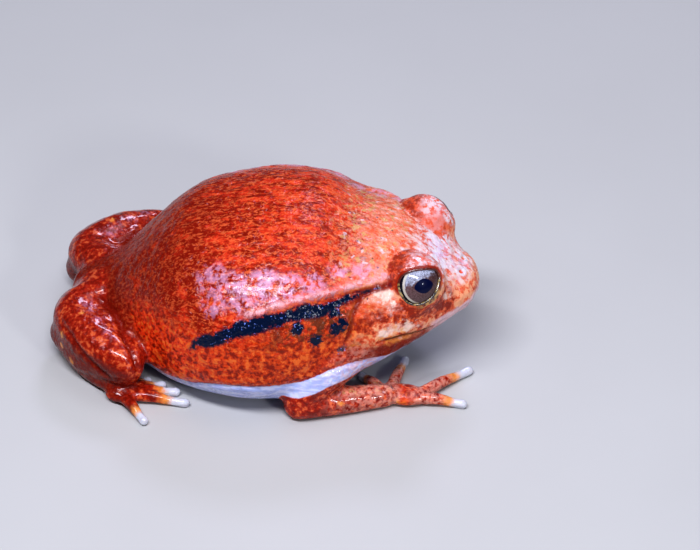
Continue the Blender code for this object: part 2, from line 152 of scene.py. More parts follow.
def closed_grid(rings):
    """Vertices and faces of rings between two poles: quads between rings, a fan at each pole.

    rings is (count, sides, 3). A face joins point j to point j + 1 of a ring and the next ring.
    """
    count, sides = rings.shape[:2]
    inner = rings[1:-1].reshape(-1, 3)
    points = np.concatenate([rings[:1, 0], inner, rings[-1:, 0]])
    row = 1 + np.arange(count - 3)[:, None] * sides
    here, beside = np.arange(sides)[None], (np.arange(sides)[None] + 1) % sides
    quads = np.stack([row + here, row + sides + here, row + sides + beside, row + beside], -1)
    first = np.stack([np.zeros_like(here), 1 + here, 1 + beside], -1).reshape(-1, 3)
    last_row, pole = 1 + (count - 3) * sides, len(points) - 1
    last = np.stack([np.full_like(here, pole), last_row + beside, last_row + here], -1)
    faces = quads.reshape(-1, 4).tolist() + first.tolist() + last.reshape(-1, 3).tolist()
    a, b, c = (points[first[:, k]] for k in range(3))
    outward = np.einsum("ij,ij->i", np.cross(b - a, c - a), a - points.mean(0)).sum()
    return points, faces if outward > 0 else [face[::-1] for face in faces]


def mesh_object(name, shapes):
    """One object from several (points, faces) shapes in millimetres, at its place in the frame."""
    points, faces, start = [], [], 0
    for shape_points, shape_faces in shapes:
        points.append(shape_points)
        faces += [[start + i for i in face] for face in shape_faces]
        start += len(shape_points)
    mesh = bpy.data.meshes.new(name)
    mesh.from_pydata(((np.concatenate(points) + CENTRING) * MM).tolist(), [], faces)
    mesh.update()
    obj = bpy.data.objects.new(name, mesh)
    bpy.context.scene.collection.objects.link(obj)
    return obj


def settled(obj):
    """The object with its modifiers worked into its mesh."""
    graph = bpy.context.evaluated_depsgraph_get()
    mesh = bpy.data.meshes.new_from_object(obj.evaluated_get(graph))
    obj.modifiers.clear()
    obj.data = mesh
    return obj


def points_of(mesh):
    """Places in millimetres, in the tables' frame, and outward directions of a mesh's vertices."""
    places, outward = np.empty((2, len(mesh.vertices) * 3))
    mesh.vertices.foreach_get("co", places)
    mesh.vertex_normals.foreach_get("vector", outward)
    return places.reshape(-1, 3) / MM - CENTRING, outward.reshape(-1, 3)


def put_points(mesh, places):
    """Writes vertex places back into a mesh."""
    mesh.vertices.foreach_set("co", ((places + CENTRING) * MM).ravel())
    mesh.update()


# %% [markdown]
# ## The trunk and head
#
# A tomato frog is a bulging lens of a body with no neck: widest and highest behind the arms, with
# a short blunt snout. A loft suits it: rings across the body, each a superellipse, which is an
# ellipse with fuller corners. The station table gives, from vent to snout, how wide each ring
# is, where its top, bottom and widest point lie, and how far it is shifted sideways.

# %% The station table and the loft
SNOUT_TO_VENT, VENT_X = 90.2, -43.8
TRUNK_WIDTH, BACK_HEIGHT = 62.0, 37.0
# Share of the length, half width, top, bottom, widest height, each as a share; shift in mm.
STATIONS = np.array([
    [0.000, 0.016, 0.286, 0.222, 0.254, -1.5],
    [0.009, 0.087, 0.341, 0.149, 0.254, -1.6],
    [0.044, 0.155, 0.405, 0.054, 0.259, -1.6],
    [0.109, 0.297, 0.492, -0.027, 0.278, -1.6],
    [0.186, 0.526, 0.673, -0.041, 0.311, -1.4],
    [0.286, 0.803, 0.878, -0.054, 0.338, -0.8],
    [0.397, 0.961, 0.949, -0.054, 0.365, -0.4],
    [0.508, 0.997, 0.997, -0.054, 0.378, 0.0],
    [0.608, 0.906, 1.003, -0.041, 0.400, 0.0],
    [0.696, 0.752, 0.938, 0.027, 0.432, 0.0],
    [0.785, 0.677, 0.903, 0.160, 0.478, 0.0],
    [0.851, 0.555, 0.843, 0.255, 0.522, 0.0],
    [0.912, 0.394, 0.743, 0.335, 0.549, 0.0],
    [0.957, 0.265, 0.664, 0.395, 0.559, 0.0],
    [0.987, 0.167, 0.619, 0.455, 0.565, 0.0],
    [1.000, 0.016, 0.570, 0.525, 0.554, 0.0],
])
UPPER_POWER, LOWER_POWER = 2.2, 2.6


def station(x):
    """Half width, top, bottom, widest height and sideways shift of the trunk at x."""
    along, *columns = STATIONS.T
    scales = (TRUNK_WIDTH / 2, BACK_HEIGHT, BACK_HEIGHT, BACK_HEIGHT, 1.0)
    share = (x - VENT_X) / SNOUT_TO_VENT
    return [smooth_curve(along, column, share) * scale for column, scale in zip(columns, scales)]


def trunk(count=150, sides=110):
    """Superellipse rings: across = width cos(a)^(2/p), rise = height sin(a)^(2/p), signs kept."""
    turn = 0.5 - 0.5 * np.cos(np.pi * np.linspace(0, 1, count))
    x = VENT_X + turn * SNOUT_TO_VENT
    width, top, bottom, widest, shift = (v[:, None] for v in station(x))
    angle = full_turn(sides)
    above = np.sin(angle) >= 0
    power = np.where(above, UPPER_POWER, LOWER_POWER)
    across = np.sign(np.cos(angle)) * np.abs(np.cos(angle)) ** (2 / power)
    rise = np.sign(np.sin(angle)) * np.abs(np.sin(angle)) ** (2 / power)
    y = shift + width * across
    z = widest + np.where(above, top - widest, widest - bottom) * rise
    rings = np.stack([np.broadcast_to(x[:, None], y.shape), y, z], -1)
    ends = rings.mean(1, keepdims=True).repeat(sides, 1)
    return closed_grid(np.concatenate([ends[:1], rings, ends[-1:]]))


def flank(x, z, side):
    """Points of the trunk's own surface at x and height z: the superellipse solved for y."""
    width, top, bottom, widest, shift = station(x)
    above = z > widest
    share = np.where(above, (z - widest) / (top - widest), (widest - z) / (widest - bottom))
    power = np.where(above, UPPER_POWER, LOWER_POWER)
    across = np.clip(1 - np.clip(share, 0, 1) ** power, 0, 1) ** (1 / power)
    return np.stack([x, shift + side * width * across, z], -1)


trunk_shape = trunk()
print("trunk points:", len(trunk_shape[0]))

# %% [markdown]
# ## Round limbs
#
# Legs, arms, fingers and folds are all the same kind of thing: a circle carried along a bent
# middle line, thicker where there is muscle. The circle closes at both ends in a quarter round,
# so a limb ends like a fingertip. A ball is the same idea without a line.

# %% Tubes and balls
ROUND_END = np.radians([90, 85, 66, 44, 22])  # rings of the quarter circle at each end


def tube(points, radii, sides=20, pitch=0.8):
    """A circle of changing radius carried along a smooth line, square to the line at each step.

    Ring = middle + radius (cos(a) side + sin(a) up), where side and up are square to the line.
    """
    run = run_along(points)
    steps = max(6, int(run[-1] / pitch))
    line = smooth_path(points, steps)
    thick = smooth_curve(run / run[-1], radii, np.linspace(0, 1, steps))
    way = unit(np.gradient(line, axis=0))
    cap = ROUND_END[:, None]
    middle = np.concatenate([
        line[0] - way[0] * thick[0] * np.sin(cap),
        line,
        line[-1] + way[-1] * thick[-1] * np.sin(cap[::-1]),
    ])
    shrink = np.cos(ROUND_END)
    radius = np.concatenate([thick[0] * shrink, thick, thick[-1] * shrink[::-1]])
    way = np.pad(way, ((len(cap), len(cap)), (0, 0)), "edge")
    reference = np.eye(3)[np.argmin(np.abs(way).max(0))]
    across = unit(np.cross(way, reference))
    up = np.cross(across, way)
    angle = full_turn(sides)[..., None]
    ring = np.cos(angle) * across[:, None] + np.sin(angle) * up[:, None]
    return closed_grid(middle[:, None] + radius[:, None, None] * ring)


def ball(centre, radii, rings=28, sides=40):
    """An ellipsoid: each direction of a sphere, with its poles up and down, times three radii."""
    way = directions(np.linspace(0, np.pi, rings)[:, None], full_turn(sides))[..., [1, 2, 0]]
    return closed_grid(centre + way * radii)


# %% [markdown]
# ## The limbs' tables
#
# Each limb is a line of points and the radius at each one. The legs are folded so that the
# knee points forwards and the heel lies beside the vent. The right hand reaches forwards; the
# left arm is set back, as in a stride that has stopped. Every digit rises a little from the
# ground at its middle, narrows before its tip and ends in a small round pad.

# %% Arms, legs and digits
ARM_RIGHT = (((20, -17.5, 13), (14, -24, 8), (10.8, -26.3, 4.4)), (6.0, 4.6, 3.5))
FOREARM_RIGHT = (((10.8, -26.3, 3.1), (19, -23.6, 2.9), (28.5, -20.0, 2.3)), (3.5, 3.2, 2.5))
ARM_LEFT = (((12, 21, 14), (5.5, 28, 8), (1.6, 31.3, 4.4)), (6.0, 4.6, 3.5))
FOREARM_LEFT = (((1.6, 31.3, 3.1), (10, 30.2, 2.9), (19.4, 27.0, 2.3)), (3.5, 3.2, 2.5))
PALM_RIGHT, PALM_SIZE = np.array([32.4, -18.5, 1.8]), (5.4, 3.0, 1.9)
FINGERS_RIGHT = np.array([  # x and y of each finger's base and tip
    [[35.5, -18.9], [45.4, -18.7]],
    [[36.0, -17.6], [45.6, -7.2]],
    [[29.5, -17.0], [31.3, -5.8]],
    [[27.5, -17.6], [22.6, -12.4]],
])
HAND_LEFT_SHIFT = np.array([-9.0, 7.0])
FINGER_RADII = (1.5, 1.15)
HIP_SHIFT, LEFT_LEG_BACK = -0.7, -1.2
THIGH = (
    ((-36.0, 5.0, 11.4), (-41.0, 11.0, 10.4), (-35.6, 18.6, 10.2), (-27.4, 24.4, 8.8)),
    (5.0, 4.8, 5.0, 4.5),
)
SHANK = (((-27.6, 23.9, 6.8), (-37, 18.3, 5.4), (-42.8, 11.6, 5.4)), (4.1, 4.3, 4.0))
TARSUS = (((-42.8, 12.0, 3.0), (-37.2, 19.0, 2.5), (-30.2, 24.3, 2.1)), (2.7, 2.5, 2.2))
SOLE, SOLE_SIZE = np.array([-28.2, 25.8, 1.8]), (3.6, 3.0, 1.8)
TOES = np.array([  # x and y of each toe's base and tip, on the left foot
    [[-27.6, 27.0], [-21.8, 33.6]],
    [[-27.0, 26.4], [-14.0, 26.4]],
    [[-27.0, 25.6], [-16.6, 23.0]],
    [[-27.4, 25.0], [-20.0, 21.2]],
    [[-28.0, 24.5], [-23.4, 20.2]],
])
TOE_RADII = (1.45, 1.1)
HAUNCH, HAUNCH_SIZE = np.array([-31.0, 13.0, 7.8]), (9.0, 8.0, 6.8)
DIGIT_ROOT, DIGIT_HEIGHT, DIGIT_ARCH = 1.6, 0.85, 0.5
DIGIT_NECK, NECK_SLIMNESS = 0.85, 0.9  # place of the slimmest point and its share of the tip


def digit(base, tip, radii):
    """The digit's middle line and radii: arched, slimmest at its neck, full again at the tip."""
    base, tip = np.array((*base, DIGIT_ROOT)), np.array((*tip, DIGIT_HEIGHT))
    middle = base + 0.5 * (tip - base) + (0, 0, DIGIT_ARCH)
    neck = base + DIGIT_NECK * (tip - base)
    slim = NECK_SLIMNESS * radii[1]
    return (base, middle, neck, tip), (radii[0], 0.5 * (radii[0] + slim), slim, radii[1])


def leg_move(side):
    """How far a leg is moved from its table place."""
    return np.array([LEFT_LEG_BACK if side == 1 else 0.0, HIP_SHIFT, 0.0])


def leg_part(limb, side):
    """A leg's line and radii on one side."""
    return mirrored(limb[0], side) + leg_move(side), limb[1]


def hand_digits(side):
    """The lines of a hand's fingers: the right hand's, or their mirror image moved back."""
    pairs = FINGERS_RIGHT * (1, -1) + HAND_LEFT_SHIFT if side == 1 else FINGERS_RIGHT
    return [digit(base, tip, FINGER_RADII) for base, tip in pairs]


def foot_digits(side):
    """The lines of a foot's toes."""
    pairs = TOES * (1, side) + leg_move(side)[:2]
    return [digit(base, tip, TOE_RADII) for base, tip in pairs]


digits = [d for side in (1, -1) for d in hand_digits(side) + foot_digits(side)]
print("digits:", len(digits))

# %% [markdown]
# ## Folds, lids and lip
#
# Skin is slack where it bends. A fold runs from the eye back along the flank, one drops behind
# the corner of the mouth, and a soft roll follows the upper lip. Each is a slim tube, sunk so
# that only its crown stands out once the skin is drawn over it. Each eye has a ball for its lids.

# %% The rolls of slack skin
FOLD_KNOTS = np.array([(29.0, 29.2), (23.5, 29.6), (17.0, 29.2), (10.0, 28.5), (3.0, 27.0)])
JAW_FOLD_KNOTS = np.array([(26.5, 27.5), (22.5, 25.0), (20.0, 21.0), (20.5, 16.5)])
MOUTH_KNOTS = np.array([
    (25.0, 17.2), (28.0, 17.6), (32.4, 17.3), (37.0, 16.5), (41.5, 17.0), (44.6, 17.9),
])
MOUTH_FRONT = (46.3, 18.2)
LIP_RISE, LIP_RADIUS = 1.0, 0.85
LID_RADIUS = 6.65
ROLLS = [  # knots, how deep the middle line lies, radius, and the share of it at each knot
    (FOLD_KNOTS, 0.9, 1.5, (0.8, 1.0, 1.0, 0.8, 0.4)),
    (JAW_FOLD_KNOTS, 0.7, 1.2, (0.7, 1.0, 1.0, 0.5)),
]


def roll(side, knots, sunk, radius, swell):
    """A tube under the trunk's surface at (x, z) knots, sunk sideways into it."""
    line = flank(knots[:, 0], knots[:, 1], side) - (0, side * sunk, 0)
    return tube(line, radius * np.array(swell), sides=16)


def mouth_line(rise, sunk):
    """Points from one corner of the mouth round the snout to the other."""
    right = flank(MOUTH_KNOTS[:, 0], MOUTH_KNOTS[:, 1] + rise, -1) + (0, sunk, 0)
    front = np.array([[MOUTH_FRONT[0] - sunk, 0, MOUTH_FRONT[1] + rise]])
    return np.concatenate([right, front, right[::-1] * (1, -1, 1)])


lip_swell = np.minimum(1.0, 0.4 + 0.2 * np.arange(len(MOUTH_KNOTS)))  # thinner at the corners
lip_radii = LIP_RADIUS * np.concatenate([lip_swell, [1.0], lip_swell[::-1]])
soft_rolls = [tube(mouth_line(LIP_RISE, 0.6 * LIP_RADIUS), lip_radii, sides=16)]
for side in (1, -1):
    soft_rolls += [roll(side, *row) for row in ROLLS]
    soft_rolls.append(ball(mirrored(EYE_PLACE, side), LID_RADIUS))
print("rolls and lids:", len(soft_rolls))

# %% [markdown]
# ## One skin over all of it
#
# The loose forms overlap, and flesh has no seams. A voxel remesh draws one closed surface round
# them all. It is done twice: coarsely for the trunk and the upper limbs, then softened so that
# each crease becomes a soft valley, and again finely with the thin forearms, hands and feet,
# which the first softening would have melted away.

# %% Fusing the forms
CORE_VOXEL, SKIN_VOXEL = 1.0 * MM, 0.48 * MM


def fuse(name, shapes, voxel, passes, rounds=0):
    """Remesh at a voxel size, then passes of smoothing and, if asked, rounds of subdivision."""
    obj = mesh_object(name, shapes)
    remesh = obj.modifiers.new("remesh", "REMESH")
    remesh.mode = "VOXEL"
    remesh.voxel_size = voxel
    soften = obj.modifiers.new("soften", "SMOOTH")
    soften.factor = 0.5
    soften.iterations = passes
    if rounds:
        finer = obj.modifiers.new("finer", "SUBSURF")
        finer.levels = finer.render_levels = rounds
    return settled(obj)


core_shapes = [trunk_shape] + soft_rolls
for side in (1, -1):
    core_shapes.append(ball(mirrored(HAUNCH, side) + (0, HIP_SHIFT, 0), HAUNCH_SIZE))
    core_shapes.append(tube(*leg_part(THIGH, side), sides=28))
    core_shapes.append(tube(*leg_part(SHANK, side), sides=28))
core_shapes += [tube(*ARM_RIGHT, sides=28), tube(*ARM_LEFT, sides=28)]
core = fuse("core", core_shapes, CORE_VOXEL, passes=9, rounds=1)

fine_shapes = [tube(*FOREARM_RIGHT), tube(*FOREARM_LEFT)]
fine_shapes += [tube(*d, pitch=0.5) for d in digits]
fine_shapes += [tube(*leg_part(TARSUS, side)) for side in (1, -1)]
fine_shapes += [ball(mirrored(SOLE, side) + leg_move(side), SOLE_SIZE) for side in (1, -1)]
palm_left = PALM_RIGHT * (1, -1, 1) + (*HAND_LEFT_SHIFT, 0)
fine_shapes += [ball(PALM_RIGHT, PALM_SIZE), ball(palm_left, PALM_SIZE)]

core_points, _ = points_of(core.data)
core_faces = [list(face.vertices) for face in core.data.polygons]
bpy.data.objects.remove(core)
skin = fuse("skin", [(core_points, core_faces)] + fine_shapes, SKIN_VOXEL, passes=5)
places, outward = points_of(skin.data)
print("skin faces:", len(skin.data.polygons), "points:", len(places))

# %% [markdown]
# ## Eyelids
#
# A frog's eye is a ball that the skin closes over, with an opening that follows the gaze. The
# opening could be cut with a Boolean, but a cut leaves a hard edge and loose points. Here the
# skin is drawn instead: each point near the eye is described by how far it lies outside the
# opening's edge, and its distance from the eye's centre follows from that. Outside the edge it
# eases back to the head's own surface, and inside it dives under the eyeball.

# %% The way each eye looks
GAZE = unit(np.array([0.42, 0.79, 0.45]))


def eye_axes(side):
    """Three square directions of an eye as rows: its gaze, ahead across it and up across it."""
    gaze = mirrored(GAZE, side)
    up = unit((0, 0, 1) - gaze[2] * gaze)
    return np.array([gaze, side * np.cross(gaze, up), up])


EDGE = np.array([  # turn round the gaze from dead ahead over the top, and the opening's half angle
    (-161, 54.5), (-130, 53.4), (-104, 46.5), (-81, 39.5), (-53, 36.0), (-19, 37.4), (-2, 42.0),
    (12, 48.5), (28, 50.0), (53, 41.0), (91, 36.7), (114, 41.3), (131, 47.1), (145, 53.2),
    (156, 56.2), (175, 56.6),
])


def opening_edge(turn):
    """The opening's half angle at a turn round the gaze: a closed smooth curve through the table."""
    closed = np.concatenate([EDGE[-3:] - (360, 0), EDGE, EDGE[:3] + (360, 0)])
    return np.radians(smooth_curve(*closed.T, np.degrees(turn)))


def seen_from_eye(points, side):
    """Distance from an eye's centre, angle from its gaze, and turn round it, of each point."""
    ahead = (points - mirrored(EYE_PLACE, side)) @ eye_axes(side).T
    reach = np.linalg.norm(ahead, axis=1)
    tilt = np.arccos(np.clip(ahead[:, 0] / reach, -1, 1))
    return reach, tilt, np.arctan2(ahead[:, 2], ahead[:, 1])


print("opening at the top, in degrees:", round(float(np.degrees(opening_edge(np.pi / 2))), 1))

# %% Drawing the lids
LID_EDGE, SOCKET_DEPTH = 0.5, 1.2  # the lid's edge stands off the eyeball, the socket lies under it
LID_SWELL, SWELL_PLACE, SWELL_WIDTH = 0.35, 1.3, 0.8  # the roll along the upper lid
LID_REACH, LID_DRAWN = 11.0, 9.0  # from the eye's centre: nothing is drawn, all is drawn
SOCKET_TO_EDGE, EDGE_TO_HEAD = (-0.5, 0.15), (0.2, 2.4)  # mm off the opening's edge
UPPER_LID = (-0.3, 0.7)  # sine of the turn at which the roll begins and is full


def draw_lids(points, side):
    """Reach = eyeball + edge at the rim, the skin's own 2.4 mm outside it, under the ball inside."""
    reach, tilt, turn = seen_from_eye(points, side)
    off = (tilt - opening_edge(turn)) * EYE_RADIUS
    rise = ease(*SOCKET_TO_EDGE, off)
    rim = EYE_RADIUS - SOCKET_DEPTH + rise * (SOCKET_DEPTH + LID_EDGE)
    upper = ease(*UPPER_LID, np.sin(turn))
    rim += LID_SWELL * upper * np.exp(-((off - SWELL_PLACE) / SWELL_WIDTH) ** 2)
    back = ease(*EDGE_TO_HEAD, off)
    wanted = rim * (1 - back) + reach * back
    close = ease(LID_REACH, LID_DRAWN, reach)
    grown = 1 + close * (wanted / reach - 1)
    eye = mirrored(EYE_PLACE, side)
    return eye + (points - eye) * grown[:, None], np.where(reach < LID_REACH, off, FAR)


lid_off = np.full(len(places), FAR)
for side in (1, -1):
    places, off = draw_lids(places, side)
    lid_off = np.minimum(lid_off, off)
print("points inside the openings:", int((lid_off < 0).sum()))

# %% [markdown]
# ## Measuring from lines on the skin
#
# The mouth, the folds and the dark stripe are all lines that lie on the skin. One helper gives
# every skin point's distance from such a line and how far along the line its nearest place is.
# Relief and colour can then both be simple functions of those two numbers. A second helper does
# the same for round places, such as the spots and the two eyes.

# %% Distances
def from_line(points, line):
    """Distance from each point to a line of points, and the share of the line's length there."""
    run = run_along(line)
    best = np.full(len(points), np.inf)
    share = np.zeros(len(points))
    for start, end, begun, done in zip(line[:-1], line[1:], run[:-1], run[1:]):
        step = end - start
        t = np.clip((points - start) @ step / (step @ step), 0, 1)
        gap = np.linalg.norm(points - start - t[:, None] * step, axis=1)
        nearer = gap < best
        best = np.where(nearer, gap, best)
        share = np.where(nearer, (begun + t * (done - begun)) / run[-1], share)
    return best, share


def bump(distance, width):
    """1 on the line and the bell e^-(d/w)^2 away from it."""
    return np.exp(-((distance / width) ** 2))


def line_pair(knots, steps=40):
    """The smaller distance to a line and to its twin on the other side, with its own share."""
    smooth = smooth_path(knots, steps)
    (one, one_share), (twin, twin_share) = (from_line(places, mirrored(smooth, s)) for s in (1, -1))
    return np.minimum(one, twin), np.where(one < twin, one_share, twin_share)


def from_balls(balls):
    """Distance to the edge of the nearest ball (x, y, z, radius) or its twin, negative inside."""
    both = np.concatenate([balls, np.multiply(balls, (1, -1, 1, 1))])
    return np.min([np.linalg.norm(places - one[:3], axis=1) - one[3] for one in both], axis=0)


def snapped(obj, points):
    """The places on an object's surface nearest to points in the tables' frame."""
    hits = [obj.closest_point_on_mesh(Vector((p + CENTRING) * MM))[1] for p in points]
    return np.array(hits) / MM - CENTRING


# %% [markdown]
# ## Lines of the face and flanks
#
# The mouth is a long thin slit that ends below the back of the eye. A ridge of skin runs from
# the eye along the edge of the back, a crease drops behind the jaw, and low on the flank a
# second fold marks where the coloured skin meets the pale, smooth belly.

# %% The lines
MOUTH_FADE = 0.06  # share of the line over which the slit fades at each corner
NOSTRIL = (42.7, -2.4, 24.6)
RIGHT_LINES = {  # knots on the right side, from the front or the top; the left side has twins
    "ridge": [
        (28.6, -14.2, 30.7), (24.2, -15.9, 30.0), (19.2, -18.2, 29.5), (14.3, -21.1, 29.2),
        (10.3, -23.1, 29.2), (6.2, -24.7, 28.4), (2.2, -26.2, 27.2), (-3.0, -27.0, 25.8),
    ],
    "jaw": [
        (26.6, -16.6, 28.6), (24.6, -17.2, 28.3), (22.9, -18.5, 27.4), (21.8, -19.9, 25.9),
        (21.4, -21.3, 24.0), (21.1, -22.2, 21.4), (20.2, -22.8, 18.5), (19.0, -23.5, 16.2),
    ],
    "thigh": [
        (-37.6, -9.0, 14.2), (-35.4, -10.8, 14.3), (-31.5, -14.8, 14.4), (-29.3, -18.1, 13.6),
        (-27.2, -22.7, 13.0), (-25.1, -26.0, 12.0), (-24.0, -27.5, 9.5), (-23.8, -27.3, 7.0),
    ],
    "shank": [
        (-43.1, -16.5, 13.2), (-42.3, -18.6, 12.4), (-40.4, -21.0, 11.9), (-38.8, -22.8, 11.0),
        (-36.4, -24.9, 9.7), (-33.6, -26.4, 8.0), (-30.9, -27.5, 6.7), (-28.4, -27.6, 4.8),
    ],
    "band": [
        (23.4, -20.4, 22.6), (26.2, -20.0, 23.3), (28.2, -18.9, 24.0), (30.1, -17.6, 23.6),
        (31.9, -17.0, 22.8), (34.2, -16.2, 22.0), (36.8, -14.3, 22.4), (40.3, -10.0, 22.6),
    ],
}
BACK_FOLD = (  # only on the right half of the back
    (-11.3, -15.1, 32.1), (-8.6, -14.2, 33.1), (-5.7, -13.7, 34.0), (-1.9, -13.3, 34.8),
    (2.0, -13.1, 35.3), (5.3, -12.5, 35.6), (8.5, -10.9, 36.0),
)
STRIPE = np.array([  # x, y, z and half width
    (28.5, -15.4, 29.2, 0.25), (25.6, -16.6, 28.8, 0.3), (23.4, -17.6, 28.3, 0.5),
    (21.4, -18.5, 27.7, 0.9), (18.6, -19.9, 27.0, 1.05), (16.7, -21.4, 26.4, 1.6),
    (14.5, -22.8, 26.3, 1.75), (10.5, -24.7, 26.8, 1.3), (7.5, -26.1, 26.2, 1.7),
    (3.9, -27.4, 25.5, 1.85), (1.0, -28.1, 24.7, 1.75), (-2.6, -28.7, 23.5, 1.5),
    (-7.0, -29.1, 20.9, 1.6), (-10.3, -28.6, 19.4, 1.3), (-12.6, -28.3, 17.0, 0.4),
])
mouth = snapped(skin, smooth_path(mouth_line(0.0, 0.0), 90))
nostrils = snapped(skin, [mirrored(NOSTRIL, side) for side in (1, -1)])
nostril_gap = np.min([np.linalg.norm(places - n, axis=1) for n in nostrils], axis=0)
lines = {name: line_pair(knots) for name, knots in RIGHT_LINES.items()}
lines["mouth"] = from_line(places, mouth)
lines["fold"] = from_line(places, smooth_path(BACK_FOLD, 30))
lines["stripe"] = line_pair(STRIPE[:, :3], 60)
print("mouth length in mm:", round(float(run_along(mouth)[-1]), 1))

# %% [markdown]
# ## Where the trunk ends and the belly begins
#
# The trunk's own superellipse gives a number that is 1 on the trunk and grows away from it, so
# it tells trunk from limb. The belly's edge is a height that changes along the body. Limbs and
# digits are known by the distance from their own middle lines.

# %% Trunk, belly and digits
END_SPARED = 1.0  # the first and last ring are too small to measure against


def trunk_measure(points):
    """(|y| / width)^p + (|z| / height)^p, both from the ring's middle: 1 on the trunk's surface."""
    x = np.clip(points[:, 0], VENT_X + END_SPARED, VENT_X + SNOUT_TO_VENT - END_SPARED)
    width, top, bottom, widest, shift = station(x)
    above = points[:, 2] > widest
    height = np.where(above, top - widest, widest - bottom)
    power = np.where(above, UPPER_POWER, LOWER_POWER)
    across = np.abs(points[:, 1] - shift) / width
    return across**power + (np.abs(points[:, 2] - widest) / height) ** power


BELLY_EDGE = np.array([  # x and height
    (-44, 5.0), (-30, 5.0), (-20, 5.0), (-12.8, 6.6), (-8.6, 8.5), (-0.8, 9.9), (6.6, 10.0),
    (11.0, 10.3), (14.0, 11.5), (17.0, 12.7), (20.5, 13.3), (24.0, 13.0), (29.0, 12.6),
    (35.0, 13.2), (41.0, 14.8), (47.0, 17.4),
])
on_trunk = ease(1.6, 1.15, trunk_measure(places))
belly_below = smooth_curve(*BELLY_EDGE.T, places[:, 0]) - places[:, 2]

digit_gap, digit_share = np.full(len(places), np.inf), np.zeros(len(places))
for line, _ in digits:
    gap, share = from_line(places, smooth_path(line, 12))
    digit_share = np.where(gap < digit_gap, share, digit_share)
    digit_gap = np.minimum(gap, digit_gap)

limb_gap = np.full(len(places), np.inf)
limbs = [ARM_RIGHT, FOREARM_RIGHT, ARM_LEFT, FOREARM_LEFT]
limbs += [leg_part(limb, side) for limb in (THIGH, SHANK, TARSUS) for side in (1, -1)]
for line, radii in limbs:
    gap, share = from_line(places, np.array(line))
    radius = smooth_curve(np.linspace(0, 1, len(radii)), radii, share)
    limb_gap = np.minimum(limb_gap, gap - radius)
is_belly = (belly_below > 0) & (on_trunk > 0.5)
print("share of the skin that is belly:", round(float(is_belly.mean()), 3))

# %% [markdown]
# ## Grain
#
# Two kinds of random relief are needed. Clouds are smooth random heights on a grid of cubes,
# blended between the corners, and make the slack swells of loose skin. Pebbles are domes
# round points strewn one to a cube, and make the grain. Both come from a fixed formula, so
# every run gives the same frog.

# %% Clouds and pebbles
def scatter(corner, seed):
    """Three numbers from 0 to 1 for each corner of a grid, from the sine of its coordinates."""
    way = np.array([[127.1, 311.7, 74.7], [269.5, 183.3, 246.1], [113.5, 271.9, 124.6]])
    return np.modf(np.abs(np.sin(corner @ way.T + seed) * 43758.5453))[0]


def clouds(points, size, seed):
    """Random heights from -1 to 1 at the corners of cubes, blended with the S curve between."""
    at = points / size
    base = np.floor(at)
    part = at - base
    part = part * part * (3 - 2 * part)
    height = np.zeros(len(at))
    for corner in itertools.product((0, 1), repeat=3):
        weight = np.prod(np.where(np.array(corner) == 1, part, 1 - part), axis=1)
        height += weight * (2 * scatter(base + corner, seed)[:, 0] - 1)
    return height


def pebbles(points, size, seed):
    """Domes: 1 - d2, where d is the distance to the nearest strewn point in cube lengths."""
    at = points / size
    base = np.floor(at)
    best = np.full(len(at), 4.0)
    for step in itertools.product((-1, 0, 1), repeat=3):
        centre = base + step + scatter(base + step, seed)
        best = np.minimum(best, ((at - centre) ** 2).sum(1))
    return 1 - np.clip(best, 0, 1)


swell = 0.7 * clouds(places, (7.0, 5.0, 5.0), 1.0) + 0.3 * clouds(places, (3.2, 2.2, 2.2), 2.0)
folds = clouds(places, (1.9, 1.4, 1.4), 4.0)
grain = pebbles(places, (1.9, 1.5, 1.5), 3.0)
print("swell:", round(float(swell.std()), 2), "grain:", round(float(grain.std()), 2))

# %% [markdown]
# ## Relief
#
# Every part of the relief is a height along the skin's outward direction, so all of them can
# simply be added: the slit of the mouth, the rims and pits of the nostrils, ridge, creases, the
# groove round the dome of each eye, the belly's fold, swells and grain. The thin skin of lids and
# digits gets less of it. Last, whatever would go below the ground is pressed flat against it, as
# a real belly is.

# %% Raising and sinking the skin
RELIEF = {  # height and half width of each line, and the shares over which its two ends fade
    "mouth": (-0.6, 0.5, MOUTH_FADE, MOUTH_FADE),
    "ridge": (0.45, 0.9, 0.15, 0.3),
    "jaw": (-0.75, 0.6, 0.2, 0.2),
    "fold": (-0.22, 0.45, 0.3, 0.3),
    "thigh": (-1.1, 0.8, 0.15, 0.15),
    "shank": (-0.8, 0.7, 0.2, 0.2),
}
EYES = [(*EYE_PLACE, 0.0)]  # a ball without a radius: its gap is the distance from the centre
NOSTRIL_RINGS = [(0.95, 0.4, 0.22), (0.0, 0.5, -0.8)]  # radius, half width, height: rim and pit
DOME_RINGS = [(8.3, 0.5, 0.18), (7.5, 0.45, -0.3)]  # a low ridge round the dome and a groove
BELLY_GROOVE, GROOVE_WIDTH = -0.4, 0.6
SWELL_RISE, GRAIN_RISE, WRINKLE_RISE = 0.16, 0.17, 0.08
GRAIN_LEVEL = 0.6  # the height of a dome that counts as level skin


def faded(share, first, last):
    """1 along a line and falling to 0 over the first and the last shares of its length."""
    return ease(0, first, share) * ease(0, last, 1 - share)


def raised_rings(gap, table):
    """Round ridges and grooves, added up: each one's height times the bell across its radius."""
    return sum(rise * bump(gap - radius, width) for radius, width, rise in table)


height = np.zeros(len(places))
for name, (rise, width, first, last) in RELIEF.items():
    gap, share = lines[name]
    height += rise * bump(gap, width) * faded(share, first, last)
height += raised_rings(nostril_gap, NOSTRIL_RINGS)
height += raised_rings(from_balls(EYES), DOME_RINGS) * ease(27.5, 30.0, places[:, 2])
height += BELLY_GROOVE * on_trunk * bump(belly_below, GROOVE_WIDTH) * ease(30, 24, places[:, 0])

